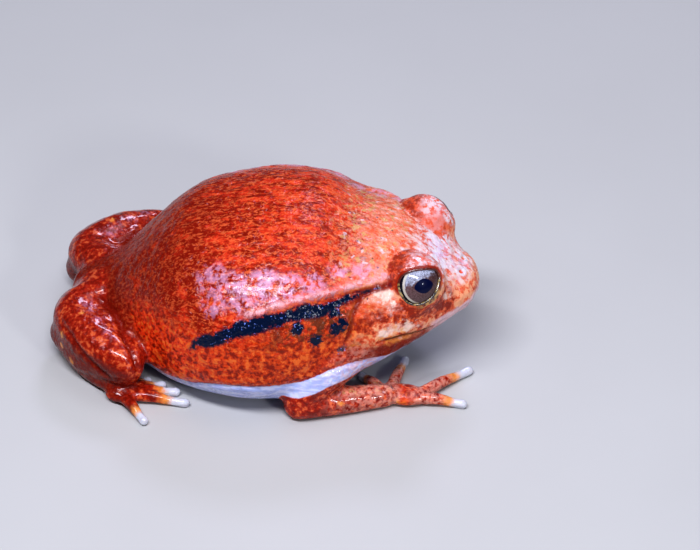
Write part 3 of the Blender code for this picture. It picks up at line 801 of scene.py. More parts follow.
off_lids = ease(0.3, 2.0, lid_off)
off_belly = ease(1.5, -1.5, belly_below * on_trunk)
on_digit = ease(4.5, 1.5, digit_gap)
height += SWELL_RISE * swell * off_lids * (1 - 0.7 * on_digit)
grainy = off_lids * (0.25 + 0.75 * off_belly) * (1 - 0.5 * on_digit)
height += (GRAIN_RISE * (grain - GRAIN_LEVEL) + WRINKLE_RISE * folds) * grainy
places = places + outward * (height * ease(-0.4, 0.4, lid_off))[:, None]
places[:, 2] = np.maximum(places[:, 2], 0.0)
put_points(skin.data, places)
print("heights in mm:", round(float(height.min()), 2), "to", round(float(height.max()), 2))

# %% [markdown]
# ## Marks that the colours follow
#
# A shader can only paint by place what it is told about. Each mark is stored on the skin as one
# number for each point: a distance in millimetres that is negative inside the mark, or a share
# from 0 outside it to 1 inside. The shader can then break the edge up with noise and choose how
# sharp it is. Every round patch is a ball: a place on the right side and a half size.

# %% Marks on the skin
SPOTS = [  # dark spots behind the jaw
    (14.1, -25.7, 20.3, 1.5), (18.0, -23.0, 21.8, 1.3), (19.3, -23.4, 16.6, 0.9),
    (17.2, -21.8, 25.3, 1.4), (10.2, -26.5, 24.0, 1.3), (19.4, -21.9, 22.9, 1.1),
]
CREAM_PATCHES = [  # behind the eye, over the mouth's corner and on the lip
    (26.0, -17.3, 27.9, 1.5), (28.0, -16.8, 27.2, 1.5), (29.2, -16.8, 25.6, 0.9),
    (28.0, -20.2, 19.6, 1.4), (29.2, -19.6, 20.2, 1.0), (33.0, -17.3, 19.6, 1.5),
    (31.0, -18.4, 20.6, 1.0), (40.0, -9.5, 23.2, 1.0), (35.3, -16.3, 19.8, 1.1),
]
SHEEN = [  # painted sheen, the sky mirrored by damp skin: flank, nape, lid and snout, then thigh
    (-9.0, -20.0, 30.0, 4.0), (-4.0, -22.5, 29.8, 4.2), (2.5, -22.0, 30.6, 4.4),
    (8.0, -21.5, 30.8, 3.4), (12.6, -19.6, 30.9, 3.0), (-8.0, -24.5, 27.0, 3.4),
    (-1.5, -25.6, 28.0, 2.8), (17.5, -15.5, 31.6, 2.6), (22.5, -14.0, 31.6, 3.0),
    (27.0, -13.2, 31.2, 2.0), (33.2, -13.2, 32.4, 1.3), (35.0, -13.0, 32.2, 1.5),
    (36.8, -12.6, 31.2, 1.2), (36.0, -8.5, 32.0, 1.9), (38.0, 0.0, 28.4, 4.0),
    (42.5, -1.0, 25.6, 2.6), (-37.4, -13.3, 14.4, 1.6), (-36.5, -15.0, 14.6, 1.3),
    (-34.0, -18.5, 14.5, 1.4), (-31.5, -22.4, 14.2, 1.3),
]
GOLD_SPOTS = [  # small golden spots on thigh, shank, forearm and knuckle
    (-42.5, -19.2, 10.0, 0.7), (-42.7, -18.8, 6.9, 0.6), (-39.9, -21.9, 4.9, 0.7),
    (19.6, -26.5, 4.0, 0.6), (31.6, -21.3, 2.2, 0.6), (24.0, -25.0, 4.6, 0.5),
    (-38.0, -17.0, 15.0, 0.6),
]
STRIP_HEIGHT, STRIP_START = 3.6, 5.5  # a pale strip below the belly's edge, over the right arm
# Millimetres off a limb, off an eye's centre, above ground and off a sheen patch: none, full.
LIMB_EDGE, DOME_EDGE, DOME_FOOT, SHEEN_EDGE = (1.8, 0.3), (7.5, 6.9), (26.5, 29.0), (0.8, -1.6)
LIMB_MARGIN, RIDGE_WIDTH, DIGIT_HALF, DIGIT_REACH = 1.0, 0.75, 1.5, 2.2


def store(obj, name, values):
    """Keeps one number for each point of an object's mesh."""
    attribute = obj.data.attributes.new(name, "FLOAT", "POINT")
    attribute.data.foreach_set("value", np.asarray(values, np.float32))


def smooth_shaded(obj):
    """Shades an object's faces as one curved surface."""
    obj.data.polygons.foreach_set("use_smooth", np.ones(len(obj.data.polygons), bool))


off_limbs = np.minimum(limb_gap, digit_gap) - LIMB_MARGIN
over_arm = (places[:, 0] > STRIP_START) & (places[:, 1] < 0)
strip = np.where(over_arm, np.minimum(belly_below, STRIP_HEIGHT - belly_below), -FAR)
belly = np.minimum(belly_below, np.maximum(off_limbs, strip))
stripe_gap, stripe_share = lines["stripe"]
stripe_half = smooth_curve(np.linspace(0, 1, len(STRIPE)), STRIPE[:, 3], stripe_share)
mouth_gap, mouth_share = lines["mouth"]
ridge_gap, ridge_share = lines["ridge"]
marks = {
    "stripe": stripe_gap - stripe_half,
    "belly": np.where(on_trunk > 0.2, belly, -FAR),
    "limb": ease(*LIMB_EDGE, np.minimum(limb_gap, digit_gap - DIGIT_HALF)),
    "band": lines["band"][0],
    "gold": from_balls(GOLD_SPOTS),
    "dome": ease(*DOME_EDGE, from_balls(EYES)) * ease(*DOME_FOOT, places[:, 2]),
    "sheen": ease(*SHEEN_EDGE, from_balls(SHEEN)),
    "spots": from_balls(SPOTS),
    "cream": from_balls(CREAM_PATCHES),
    "mouth": mouth_gap + FAR * (1 - faded(mouth_share, MOUTH_FADE, MOUTH_FADE)),
    "nostril": nostril_gap,
    "ridge": bump(ridge_gap, RIDGE_WIDTH) * ease(0, 0.1, 1 - ridge_share),
    "lid": lid_off,
    "tip": np.where(digit_gap < DIGIT_REACH, digit_share, 0),
    # the relief's heights, darkened in the shader as painted shade where they sink
    "hollow": height,
}
for name, values in marks.items():
    store(skin, name, values)
smooth_shaded(skin)
print("marks:", ", ".join(marks))

# %% [markdown]
# ## Eyeballs
#
# The eye is a ball with a steeper bulge over the pupil, the cornea. Its rings run round the gaze,
# so the iris pattern can follow them. Each point keeps its own direction in the eye's axes, which
# is all that the iris material needs to know.

# %% The eyeballs
CORNEA_RISE, CORNEA_WIDTH = 0.3, math.radians(40)


def eyeball(side, rings=90, sides=128):
    """Rings round the gaze: radius = eye + rise e^-(tilt / width)^2; with each point's direction."""
    centre, axes = mirrored(EYE_PLACE, side), eye_axes(side)
    tilt = np.linspace(0, np.pi, rings)[:, None]
    radius = EYE_RADIUS + CORNEA_RISE * bump(tilt, CORNEA_WIDTH)
    grid = directions(tilt, full_turn(sides)) * radius[..., None]
    points, faces = closed_grid(centre + grid @ axes)
    return points, faces, unit((points - centre) @ axes.T)


eyes = []
for name, side in SIDES.items():
    points, faces, ways = eyeball(side)
    eye = mesh_object("eye_globe_" + name, [(points, faces)])
    attribute = eye.data.attributes.new("gaze", "FLOAT_VECTOR", "POINT")
    attribute.data.foreach_set("vector", ways.astype(np.float32).ravel())
    smooth_shaded(eye)
    eyes.append(eye)
print("eyeball points:", len(points))

# %% [markdown]
# ## The rims of the lids
#
# Round the opening runs the lid's own thin wet edge, yellowish below and dark above, and it is
# finer than the skin's grid. It is a closed ring: a small oval carried once round the opening,
# half sunk in the lid, so that it gives the eye a crisp border without a seam.

# %% Lid rims
RIM_HEIGHT, RIM_WIDTH = 0.24, 0.27
RIM_OUT, RIM_SUNK, RIM_UNEVEN = 0.05, 0.20, 0.012


def lid_rim(side, steps=160, sides=14):
    """Ring of ovals: the direction to the opening's edge, tilted and lifted by cos(a) and sin(a)."""
    turn, around = full_turn(steps).T - np.pi, full_turn(sides)
    uneven = RIM_UNEVEN * (np.sin(23 * turn) + np.sin(37 * turn + 1))
    tilt = opening_edge(turn) + (RIM_WIDTH * np.cos(around) + RIM_OUT + uneven) / EYE_RADIUS
    reach = EYE_RADIUS + LID_EDGE - RIM_SUNK + (RIM_HEIGHT + uneven) * np.sin(around)
    grid = mirrored(EYE_PLACE, side) + (directions(tilt, turn) * reach[..., None]) @ eye_axes(side)
    row, column = np.arange(steps)[:, None], np.arange(sides)[None]
    next_row, next_column = (row + 1) % steps, (column + 1) % sides
    faces = np.stack([
        row * sides + column, next_row * sides + column,
        next_row * sides + next_column, row * sides + next_column,
    ], -1).reshape(-1, 4)
    if side == 1:  # the eye's axes are each other's mirror image, and so are the faces
        faces = faces[:, ::-1]
    return grid.reshape(-1, 3), faces.tolist(), np.broadcast_to(np.sin(turn), grid.shape[:2]).ravel()


rims = []
for name, side in SIDES.items():
    points, faces, upper = lid_rim(side)
    rim = mesh_object("lid_rim_" + name, [(points, faces)])
    store(rim, "upper", upper)
    smooth_shaded(rim)
    rims.append(rim)
print("rim points:", len(points))

# %% [markdown]
# ## Writing shaders as sums
#
# A shader network is arithmetic on a surface. Wires between dozens of nodes hide that, so a
# small class wraps a socket and lets Python's own signs add the Math nodes: 1 - mask is one
# Math node. Colours go through Mix nodes, because a Math node would turn them grey. Places go
# through Vector Math nodes, and one method adds a node of any other kind.
#
# The layers of paint below all read alike. The two numbers of a step say where an area begins
# and where it is full, and the factor after it says how strongly it covers what lies below.

# %% A socket that can be added, subtracted and multiplied
class Wire:
    """One output socket of a node network, used as a number in sums."""

    def __init__(self, net, socket):
        self.net, self.socket = net, socket

    def maths(self, operation, *values):
        """A Math node that works on these values."""
        return self.net.add("ShaderNodeMath", {"operation": operation}, dict(enumerate(values)))

    def __add__(self, other):
        return self.maths("ADD", self, other)

    def __sub__(self, other):
        return self.maths("SUBTRACT", self, other)

    def __rsub__(self, other):
        return self.maths("SUBTRACT", other, self)

    def __mul__(self, other):
        return self.maths("MULTIPLY", self, other)

    __radd__, __rmul__ = __add__, __mul__

    def of(self, operation):
        """A function of this number alone, such as its square root."""
        return self.maths(operation, self)

    def power(self, exponent):
        """This number's size, without its sign, to a power."""
        return self.maths("POWER", self.of("ABSOLUTE"), exponent)

    def least(self, other):
        """The smaller of two numbers."""
        return self.maths("MINIMUM", self, other)

    def most(self, other):
        """The larger of two numbers."""
        return self.maths("MAXIMUM", self, other)

    def step(self, low, high):
        """0 below low, 1 above high, an S curve between; high below low turns it round."""
        if high < low:
            return 1 - self.step(high, low)
        settings = {"interpolation_type": "SMOOTHSTEP"}
        return self.net.add("ShaderNodeMapRange", settings, {0: self, 1: low, 2: high})


class Finish:
    """A material and the means to add nodes to it."""

    def __init__(self, name):
        self.material = bpy.data.materials.new(name)
        self.material.use_nodes = True
        self.nodes = self.material.node_tree.nodes
        self.links = self.material.node_tree.links
        self.nodes.clear()

    def add(self, kind, settings=None, values=None, out=0):
        """A node of a kind: its settings first, then its sockets' values or links."""
        node = self.nodes.new(kind)
        for key, value in (settings or {}).items():
            setattr(node, key, value)
        for key, value in (values or {}).items():
            if isinstance(value, Wire):
                self.links.new(value.socket, node.inputs[key])
            else:
                node.inputs[key].default_value = value
        return Wire(self, node.outputs[out])

    def mark(self, name, out="Fac"):
        """What the mesh keeps for each point under this name."""
        return self.add("ShaderNodeAttribute", {"attribute_name": name}, out=out)

    def scaled(self, vector, scale):
        """The vector with each of its three numbers multiplied."""
        return self.add("ShaderNodeVectorMath", {"operation": "MULTIPLY"}, {0: vector, 1: scale})

    def moved(self, vector, by):
        """The vector with another one added."""
        return self.add("ShaderNodeVectorMath", {"operation": "ADD"}, {0: vector, 1: by})

    def millimetres(self):
        """The place of each point of the piece, in millimetres."""
        return self.scaled(self.add("ShaderNodeTexCoord", out="Object"), (1 / MM,) * 3)

    def split(self, vector):
        """The three numbers of a vector."""
        node = self.add("ShaderNodeSeparateXYZ", None, {0: vector}).socket.node
        return [Wire(self, output) for output in node.outputs]

    def noise(self, vector, size, detail=2.0, roughness=0.5, out=0):
        """Soft random blotches about size across, where the vector is in millimetres."""
        values = {"Vector": vector, "Scale": 1 / size, "Detail": detail, "Roughness": roughness}
        return self.add("ShaderNodeTexNoise", None, values, out)

    def cells(self, vector, size, feature="DISTANCE_TO_EDGE"):
        """Distance to the walls, or to the middle, of random cells about size across."""
        values = {"Vector": vector, "Scale": 1 / size}
        return self.add("ShaderNodeTexVoronoi", {"feature": feature}, values)

    def mix(self, first, second, mask):
        """first where mask is 0, second where it is 1; both are colours."""
        values = {0: mask, 6: first, 7: second}
        return self.add("ShaderNodeMix", {"data_type": "RGBA"}, values, out=2)

    def shine(self, values):
        """The surface shader, linked to the material's output."""
        surface = self.add("ShaderNodeBsdfPrincipled", None, values)
        output = self.nodes.new("ShaderNodeOutputMaterial")
        self.links.new(surface.socket, output.inputs["Surface"])
        return self.material


def colour(red, green, blue):
    """An opaque colour in linear light."""
    return (red, green, blue, 1.0)


print("shader helpers are ready")

# %% [markdown]
# ## The skin's ground colour
#
# The skin is tomato red, but no spot of it is one colour: thin orange lines and flecks wander
# between darker, longish cells, darker towards the rear, and the flanks are more orange and
# blotched. The legs are a deep red. Painted shade darkens the low rear, the top of the rump and
# the shank. Painted maps would need unwrapping and images. Instead noise in millimetres makes it,
# on coordinates that are first bent by another noise, so that no cell repeats or looks drawn.

# %% Ground colours of back and flank
RED = colour(0.60, 0.036, 0.011)
DEEP_RED = colour(0.19, 0.007, 0.002)
EMBER = colour(0.84, 0.165, 0.050)
LEG_RED = colour(0.38, 0.020, 0.006)
RUMP_SHADE_RED = colour(0.13, 0.006, 0.002)
FLANK_DARK = colour(0.20, 0.009, 0.002)
FLANK_RED = colour(0.57, 0.050, 0.006)
FLANK_GOLD = colour(0.84, 0.185, 0.030)
HIND_RED = colour(0.82, 0.045, 0.008)
WANDER = 6.0  # how far, in millimetres, the edge between two large areas wanders


def bent(f, vector, size, most):
    """The vector moved by a noise of a size, by at most about half of most either way."""
    wander = f.moved(f.noise(vector, size, out="Color"), (-0.5,) * 3)
    return f.moved(vector, f.scaled(wander, (most,) * 3))


class Grounds:
    """The coordinates and noises that several layers of the skin share."""

    def __init__(self, f):
        self.mm = f.millimetres()
        self.bent = bent(f, bent(f, self.mm, 3.0, 1.0), 0.9, 0.4)
        self.long = f.scaled(self.bent, (0.5, 1.0, 1.0))
        self.x, _, self.z = f.split(self.mm)
        self.up = f.split(f.add("ShaderNodeNewGeometry", out="Normal"))[2]
        self.broad = f.noise(self.mm, 8.0)
        self.middle = f.noise(self.long, 2.0, 5.0, 0.68)
        self.spread = f.noise(self.bent, 2.2, 4.0, 0.65)
        self.fine = f.noise(self.bent, 0.75, 3.0, 0.6)
        self.walls = f.cells(self.long, 1.25)
        self.edge = f.noise(self.mm, 1.4, 4.0, 0.65) - 0.5  # added to a measure, it frays the edge
        self.about_x = self.x + self.edge * WANDER
        self.limb = f.mark("limb")


def body_paint(f, g):
    """Back: red, dark clouds and cells, orange lines. Flank: red, dark and golden blotches. Painted
    shade.
    """
    rear = g.x.step(6, -30)
    dark = g.middle * 0.65 + g.broad * 0.2 + g.fine * 0.15 + rear * 0.07
    back = f.mix(RED, DEEP_RED, (dark + rear * 0.04).step(0.44, 0.57) * 0.88)
    cores = g.walls.step(0.05, 0.30) * (g.middle + g.fine).step(0.92, 1.12)
    back = f.mix(back, DEEP_RED, cores * 0.4)
    veins = (f.noise(g.long, 1.3) - 0.5).of("ABSOLUTE").step(0.05, 0.0) * g.fine.step(0.38, 0.56)
    flecks = f.noise(g.long, 0.7, 3.0, 0.55).step(0.54, 0.64) * 0.9
    glow = (dark + g.fine * 0.3).step(0.60, 0.50) * 0.8
    back = f.mix(back, EMBER, veins.most(flecks).most(glow) * (0.75 - rear * 0.3))
    patchy = g.spread * 0.45 + f.noise(g.mm, 1.1, 5.0, 0.65) * 0.55
    flank = f.mix(f.mix(FLANK_RED, HIND_RED, rear), FLANK_DARK, patchy.step(0.49, 0.58) * 0.9)
    flank = f.mix(flank, FLANK_GOLD, patchy.step(0.48, 0.40) * 0.75)
    body = f.mix(flank, back, (g.up + g.edge * 0.5).step(0.15, 0.5))
    leg = f.mix(LEG_RED, DEEP_RED, patchy.step(0.49, 0.57) * 0.9)
    leg = f.mix(leg, EMBER, patchy.step(0.47, 0.40) * 0.7)
    body = f.mix(body, leg, g.limb)
    # Painted shade: darker red on the low rear, the top of the rump and the shank.
    low_rear = g.x.step(-22, -36) * g.z.step(24, 14)
    top_rear = g.x.step(-4, -32) * 0.5 * g.up.step(0.3, 0.7)
    shade = low_rear.most(top_rear) * (1 - g.limb * 0.7) * 0.8
    shank = g.limb * g.x.step(-22, -30) * g.z.step(12.5, 9.0) * 0.8
    return f.mix(body, RUMP_SHADE_RED, shade.most(shank))


print("ground colours are ready")

# %% [markdown]
# ## Head colours
#
# The top of the head fades to salmon and a pale pink snout with red blotches. Their lilac-white is
# partly pale skin and partly a painted reflection of the sky. The nape behind it has olive patches
# and pale and dark dots. The cheek is golden orange under dark red blotches that run back from
# below the eye, and the throat under the jaw is darkened with painted shade. All are mixed over
# the ground colour by place and by the way the skin faces.

# %% Colours of the head
SALMON = colour(0.75, 0.250, 0.150)
PALE_LILAC_AND_SHEEN = colour(0.74, 0.690, 0.760)
PEACH = colour(0.85, 0.370, 0.200)
BLOTCH = colour(0.68, 0.085, 0.025)
OLIVE = colour(0.55, 0.370, 0.130)
GOLD = colour(0.90, 0.340, 0.070)
CHEEK_DARK = colour(0.24, 0.012, 0.003)
THROAT_SHADE = colour(0.27, 0.018, 0.002)
INK = colour(0.003, 0.009, 0.032)


def head_paint(f, g, paint):
    """Crown and snout where the skin faces up, cheek and throat aside, and the nape behind."""
    streak = f.noise(f.scaled(g.mm, (0.5, 0.9, 1.0)), 1.2, 6.0, 0.66)
    spots = f.noise(g.mm, 1.3, 5.0, 0.62)
    snout = g.about_x.step(28, 38)
    # Pale lilac on crown and snout: partly pale skin, partly a painted reflection of the sky.
    crown = f.mix(SALMON, PALE_LILAC_AND_SHEEN, snout * 0.9)
    crown = f.mix(crown, BLOTCH, (streak - snout * 0.02).step(0.46, 0.58) * 0.9)
    crown = f.mix(crown, PALE_LILAC_AND_SHEEN, streak.step(0.45, 0.36) * (0.55 + snout * 0.3))
    tip = (g.x + g.edge * 3.6).step(38, 43) * g.up.step(0.95, 0.6)
    crown = f.mix(crown, f.mix(PEACH, BLOTCH, spots.step(0.46, 0.54) * 0.85), tip)
    cheek = f.mix(GOLD, PEACH, (g.broad + snout * 0.25).step(0.52, 0.66))
    darkness = spots * 0.65 + g.spread * 0.35 + f.mark("band").step(4.2, 1.2) * 0.13
    cheek = f.mix(cheek, BLOTCH, darkness.step(0.48, 0.56) * 0.9)
    cheek = f.mix(cheek, CHEEK_DARK, darkness.step(0.56, 0.65) * 0.9)
    # Painted shade: the throat under the jaw is darkened.
    throat = (g.z + g.edge * 3.0).step(18.0, 15.5) * g.x.step(46, 34)
    cheek = f.mix(cheek, f.mix(THROAT_SHADE, FLANK_DARK, g.spread.step(0.45, 0.6)), throat)
    head = f.mix(cheek, crown, (g.up + g.edge * 0.6).step(0.3, 0.62))
    paint = f.mix(paint, head, g.about_x.step(18, 28) * g.z.step(9, 13))
    nape = g.about_x.step(13, 20) * g.about_x.step(34, 28) * g.up.step(0.7, 0.9)
    paint = f.mix(paint, SALMON, nape * g.fine.step(0.43, 0.58) * 0.55)
    olive = f.noise(f.moved(g.mm, (9.0, 4.0, 2.0)), 1.7, 6.0, 0.68).step(0.53, 0.61)
    paint = f.mix(paint, OLIVE, nape * olive * 0.6)
    paint = f.mix(paint, PALE_LILAC_AND_SHEEN, nape * f.noise(g.mm, 1.6, 1.0).step(0.66, 0.74) * 0.5)
    return f.mix(paint, INK, nape * f.noise(g.mm, 1.2, 1.0).step(0.70, 0.74) * 0.75)


print("head colours are ready")

# %% [markdown]
# ## Markings
#
# A broken black stripe runs back from the eye below a pale ridge, pale partly by its own colour
# and partly by a painted highlight. Black spots follow behind the jaw, and cream patches lie behind
# the eye and over the mouth corner. The lip has a pale pink edge, the belly is pale with a lilac
# tint of painted skylight, the hands are a light orange, and each digit has a whitish tip after a
# golden band. Nearly all of them are a mark's distance with noise added before it is cut, so that
# the edge frays. The mauve worms of the sheen and the blue glints in the black are what the damp
# skin mirrors of the sky. They are partly painted reflections, as lamps alone leave them out.

# %% Colours of the markings
GLINT = colour(0.16, 0.26, 0.75)
SMOKE = colour(0.11, 0.030, 0.010)
RIDGE_ROSE_HIGHLIGHT = colour(0.80, 0.410, 0.450)
CREAM = colour(0.90, 0.660, 0.560)
LIP = colour(0.76, 0.530, 0.580)
PAINTED_SHEEN_MAUVE = colour(0.71, 0.400, 0.620)
BELLY_SKY_LILAC = colour(0.40, 0.450, 0.760)
BELLY_SKY_PALE = colour(0.60, 0.620, 0.850)
TIP_WHITE = colour(0.60, 0.600, 0.660)
HAND_ORANGE = colour(0.82, 0.350, 0.260)
LID_RED = colour(0.27, 0.016, 0.005)


def sheen_paint(f, g, paint):
    """Painted mauve sheen, pale ridge with painted highlight, painted shade in creases, golden
    spots.
    """
    worms = f.noise(f.scaled(g.bent, (1.0, 0.7, 0.7)), 1.3, 4.0, 0.6)
    strength = 0.42 + g.x.step(-12, 3) * 0.22 - g.x.step(10, 20) * 0.18
    sheen = f.mark("sheen")
    # Painted reflection: mauve worms of sky light on the damp skin, laid over the sheen mark.
    paint = f.mix(paint, PAINTED_SHEEN_MAUVE, sheen * (sheen * 0.05 + worms).step(0.45, 0.62) * strength)
    broken = f.noise(g.bent, 1.1, 4.0, 0.65).step(0.42, 0.56)
    # The ridge's rose is partly its own paler skin and partly a painted highlight along its crest.
    paint = f.mix(paint, RIDGE_ROSE_HIGHLIGHT, f.mark("ridge") * (broken * 0.65 + 0.3))
    # Painted shade: darker red where the relief sinks, in the creases, the slit and the grooves.
    paint = f.mix(paint, DEEP_RED, f.mark("hollow").step(-0.2, -0.75) * 0.85)
    return f.mix(paint, GOLD, (f.mark("gold") + g.edge * 3.0).step(0.3, -0.4) * 0.8)


def lid_paint(f, g, paint):
    """The red dome, a painted highlight in front, and the dark and olive places round the opening.
    """
    dome, lid = f.mark("dome"), f.mark("lid")
    freckled = f.noise(g.mm, 1.2, 5.0, 0.65)
    behind = (g.x + g.edge * 5.0).step(35.0, 31.0)
    on_lid = (dome + g.edge * 1.6).step(0.1, 0.9)
    red = f.mix(BLOTCH, LID_RED, (g.spread * 0.5 + freckled * 0.5).step(0.44, 0.53) * behind)
    paint = f.mix(paint, red, on_lid * (0.75 + behind * 0.15))
    # Painted highlight: pale lilac over the front of the dome, above the lid's edge and on its top.
    above = lid.step(0.7, 1.2) * (lid + g.edge * 2.0).step(3.6, 2.6)
    pale = dome * above.most(g.z.step(31, 32.5) * 0.8) * (1 - behind) * freckled.step(0.56, 0.44)
    paint = f.mix(paint, PALE_LILAC_AND_SHEEN, pale * 0.75)
    edge_line = (lid + g.edge * 0.9).step(0.95, 0.55) * dome.step(0.0, 0.3)
    paint = f.mix(paint, LID_RED, edge_line * 0.9)
    front_edge = (lid + g.edge * 1.4).step(1.4, 0.8) * (1 - dome) * g.x.step(34, 37)
    paint = f.mix(paint, f.mix(OLIVE, INK, g.fine.step(0.50, 0.58)), front_edge * 0.8)
    corner = (lid + g.edge * 0.8).step(1.2, 0.8) * g.x.step(29.5, 28.5) * g.z.step(29.5, 28.5)
    return f.mix(paint, OLIVE, corner * 0.9)


def face_paint(f, g, paint):
    """Cream patches, the pale rim and red pit of each nostril, pink lip and painted shade in the
    slit.
    """
    cream = (f.mark("cream") + g.edge * 5.0).step(0.5, -0.9)
    paint = f.mix(paint, CREAM, cream * 0.85)
    nostril = f.mark("nostril")
    nostril_rim = nostril.step(0.45, 0.7) * (nostril + g.edge).step(1.4, 0.8)
    paint = f.mix(paint, TIP_WHITE, nostril_rim * 0.75)
    paint = f.mix(paint, BLOTCH, nostril.step(0.6, 0.3))
    mouth = f.mark("mouth")
    lip = (mouth + g.edge * 1.5).step(2.5, 1.6) * g.about_x.step(36, 40)
    paint = f.mix(paint, LIP, lip * 0.9)
    # Painted shade in the slit of the mouth.
    return f.mix(paint, SMOKE, mouth.step(0.38, 0.12) * 0.9)


def black_paint(f, g, paint):
    """The broken stripe over its smoky shade and crease, the spots, and how black it all is."""
    stripe = f.mark("stripe")
    below = (stripe + g.edge * WANDER).step(6.5, 3.5) * g.z.step(26.5, 25.0)
    smoky = g.x.step(0, 12) * g.x.step(23, 20) * below
    paint = f.mix(paint, SMOKE, smoky * f.noise(g.mm, 1.8, 5.0, 0.65).step(0.45, 0.53) * 0.85)
    gap = f.noise(g.bent, 1.7, 3.0, 0.6).step(0.58, 0.64) * stripe.step(-1.1, -0.4)
    crease = (stripe + g.edge * 1.2).step(1.0, 0.3) * g.x.step(18, 22)
    paint = f.mix(paint, CHEEK_DARK, crease * 0.9)
    black = (stripe + g.edge * 2.4).step(0.4, -0.5) * (1 - gap * 0.85)
    fray = g.edge * 3.0 + (g.fine - 0.5) * 2.4
    black = black.most((f.mark("spots") + fray).step(0.35, -0.35))
    glints = f.noise(g.mm, 0.5, 2.0).step(0.60, 0.70) * f.noise(g.mm, 2.4, 1.0).step(0.45, 0.60)
    return f.mix(paint, f.mix(INK, GLINT, glints), black), black


def belly_paint(f, g, paint):
    """The streaked pale belly, the orange hands, and each digit's golden band and whitish tip."""
    # The belly's own pale cream gets a lilac-blue tint of painted skylight.
    streaks = f.noise(f.scaled(g.mm, (0.2, 1, 1)), 0.9)
    belly = f.mix(BELLY_SKY_LILAC, BELLY_SKY_PALE, streaks.step(0.4, 0.6))
    paint = f.mix(paint, belly, (f.mark("belly") + g.edge * 0.7).step(-0.15, 0.2))
    hand = g.limb * g.about_x.step(12, 30)
    paint = f.mix(paint, HAND_ORANGE, hand * f.noise(g.mm, 1.0, 4.0, 0.6).step(0.38, 0.58) * 0.65)
    tip = f.mark("tip") + g.edge * 0.25
    paint = f.mix(paint, GOLD, tip.step(0.48, 0.68) * 0.75)
    return f.mix(paint, TIP_WHITE, tip.step(0.66, 0.84))


print("markings are ready")

# %% [markdown]
# ## Wet skin
#
# The skin is moist and grainy, so it mirrors the light in many small broken patches. The relief
# of fine grains and wrinkles is too small for the mesh and is bumped here, below the mesh's own
# grain. A film of water, the coat, lies on the limbs and thinly on the head and the sheen. On
# the grainy back it would draw hard white specks, so it is left out there. Light enters the skin
# a little and comes out redder, which is what subsurface does.

# %% The skin material
BUMP_DEPTH, LIGHT_DEPTH = 0.22 * MM, 0.8 * MM


def skin_material():
    """Paint layers, then roughness that wanders, bumps of grains and wrinkles, and the coat."""
    f = Finish("wet_frog_skin")
    g = Grounds(f)
    paint = body_paint(f, g)
    for layer in (head_paint, sheen_paint, lid_paint, face_paint):
        paint = layer(f, g, paint)
    paint, black = black_paint(f, g, paint)
    paint = belly_paint(f, g, paint)
    grains = f.cells(g.bent, 0.6, "F1")
    folds = f.noise(g.bent, 2.0, 2.0, 0.5)
    relief = (1 - grains) * 0.32 + g.walls.least(0.25) * 0.3 + folds * 2.6 + g.fine * 0.25
    bumps = {"Strength": 0.9, "Distance": BUMP_DEPTH, "Height": relief}
    thin_film = f.mark("sheen").most(g.x.step(24, 34)) * 0.35
    return f.shine({
        "Base Color": paint, "Roughness": (0.14 + g.fine * 0.22) * (1 - black * 0.75),
        "Normal": f.add("ShaderNodeBump", None, bumps), "IOR": 1.38, "Specular IOR Level": 0.35,
        "Coat Weight": g.up.step(0.35, 0.8) * thin_film.most(g.limb * 0.8),
        "Coat Roughness": 0.05, "Coat IOR": 1.4, "Subsurface Weight": 0.08,
        "Subsurface Radius": (0.9, 0.25, 0.12), "Subsurface Scale": LIGHT_DEPTH,
    })


skin.data.materials.append(skin_material())
print("skin nodes:", len(skin.data.materials[0].node_tree.nodes))

# %% [markdown]
# ## The eyes' finish
#
# The iris is a disc of silver and bronze with fine dark cracks, browner below, with a cream
# edge at its rear and a wide, rounded black pupil. Over it lies the clear cornea, which is what
# makes an eye look alive: a very smooth coat, thinner over the pupil, which stays black. The
# pattern is drawn in the eye's own directions.

# %% The eye and rim materials
PUPIL_AHEAD, PUPIL_UP = 0.37, 0.28  # half sizes of the pupil, as shares of the eye's radius
PUPIL_POWER = 1.6
IRIS_BROWN = colour(0.060, 0.024, 0.022)
IRIS_MAUVE = colour(0.185, 0.100, 0.105)
IRIS_SILVER = colour(0.46, 0.490, 0.620)
IRIS_CRACK = colour(0.012, 0.012, 0.030)
IRIS_EDGE = colour(0.66, 0.600, 0.500)
EYE_DARK = colour(0.006, 0.006, 0.016)
PUPIL_BLACK = colour(0.001, 0.003, 0.030)
RIM_YELLOW = colour(0.36, 0.250, 0.080)
RIM_FLECK = colour(0.03, 0.020, 0.015)
RIM_RED = colour(0.10, 0.012, 0.006)


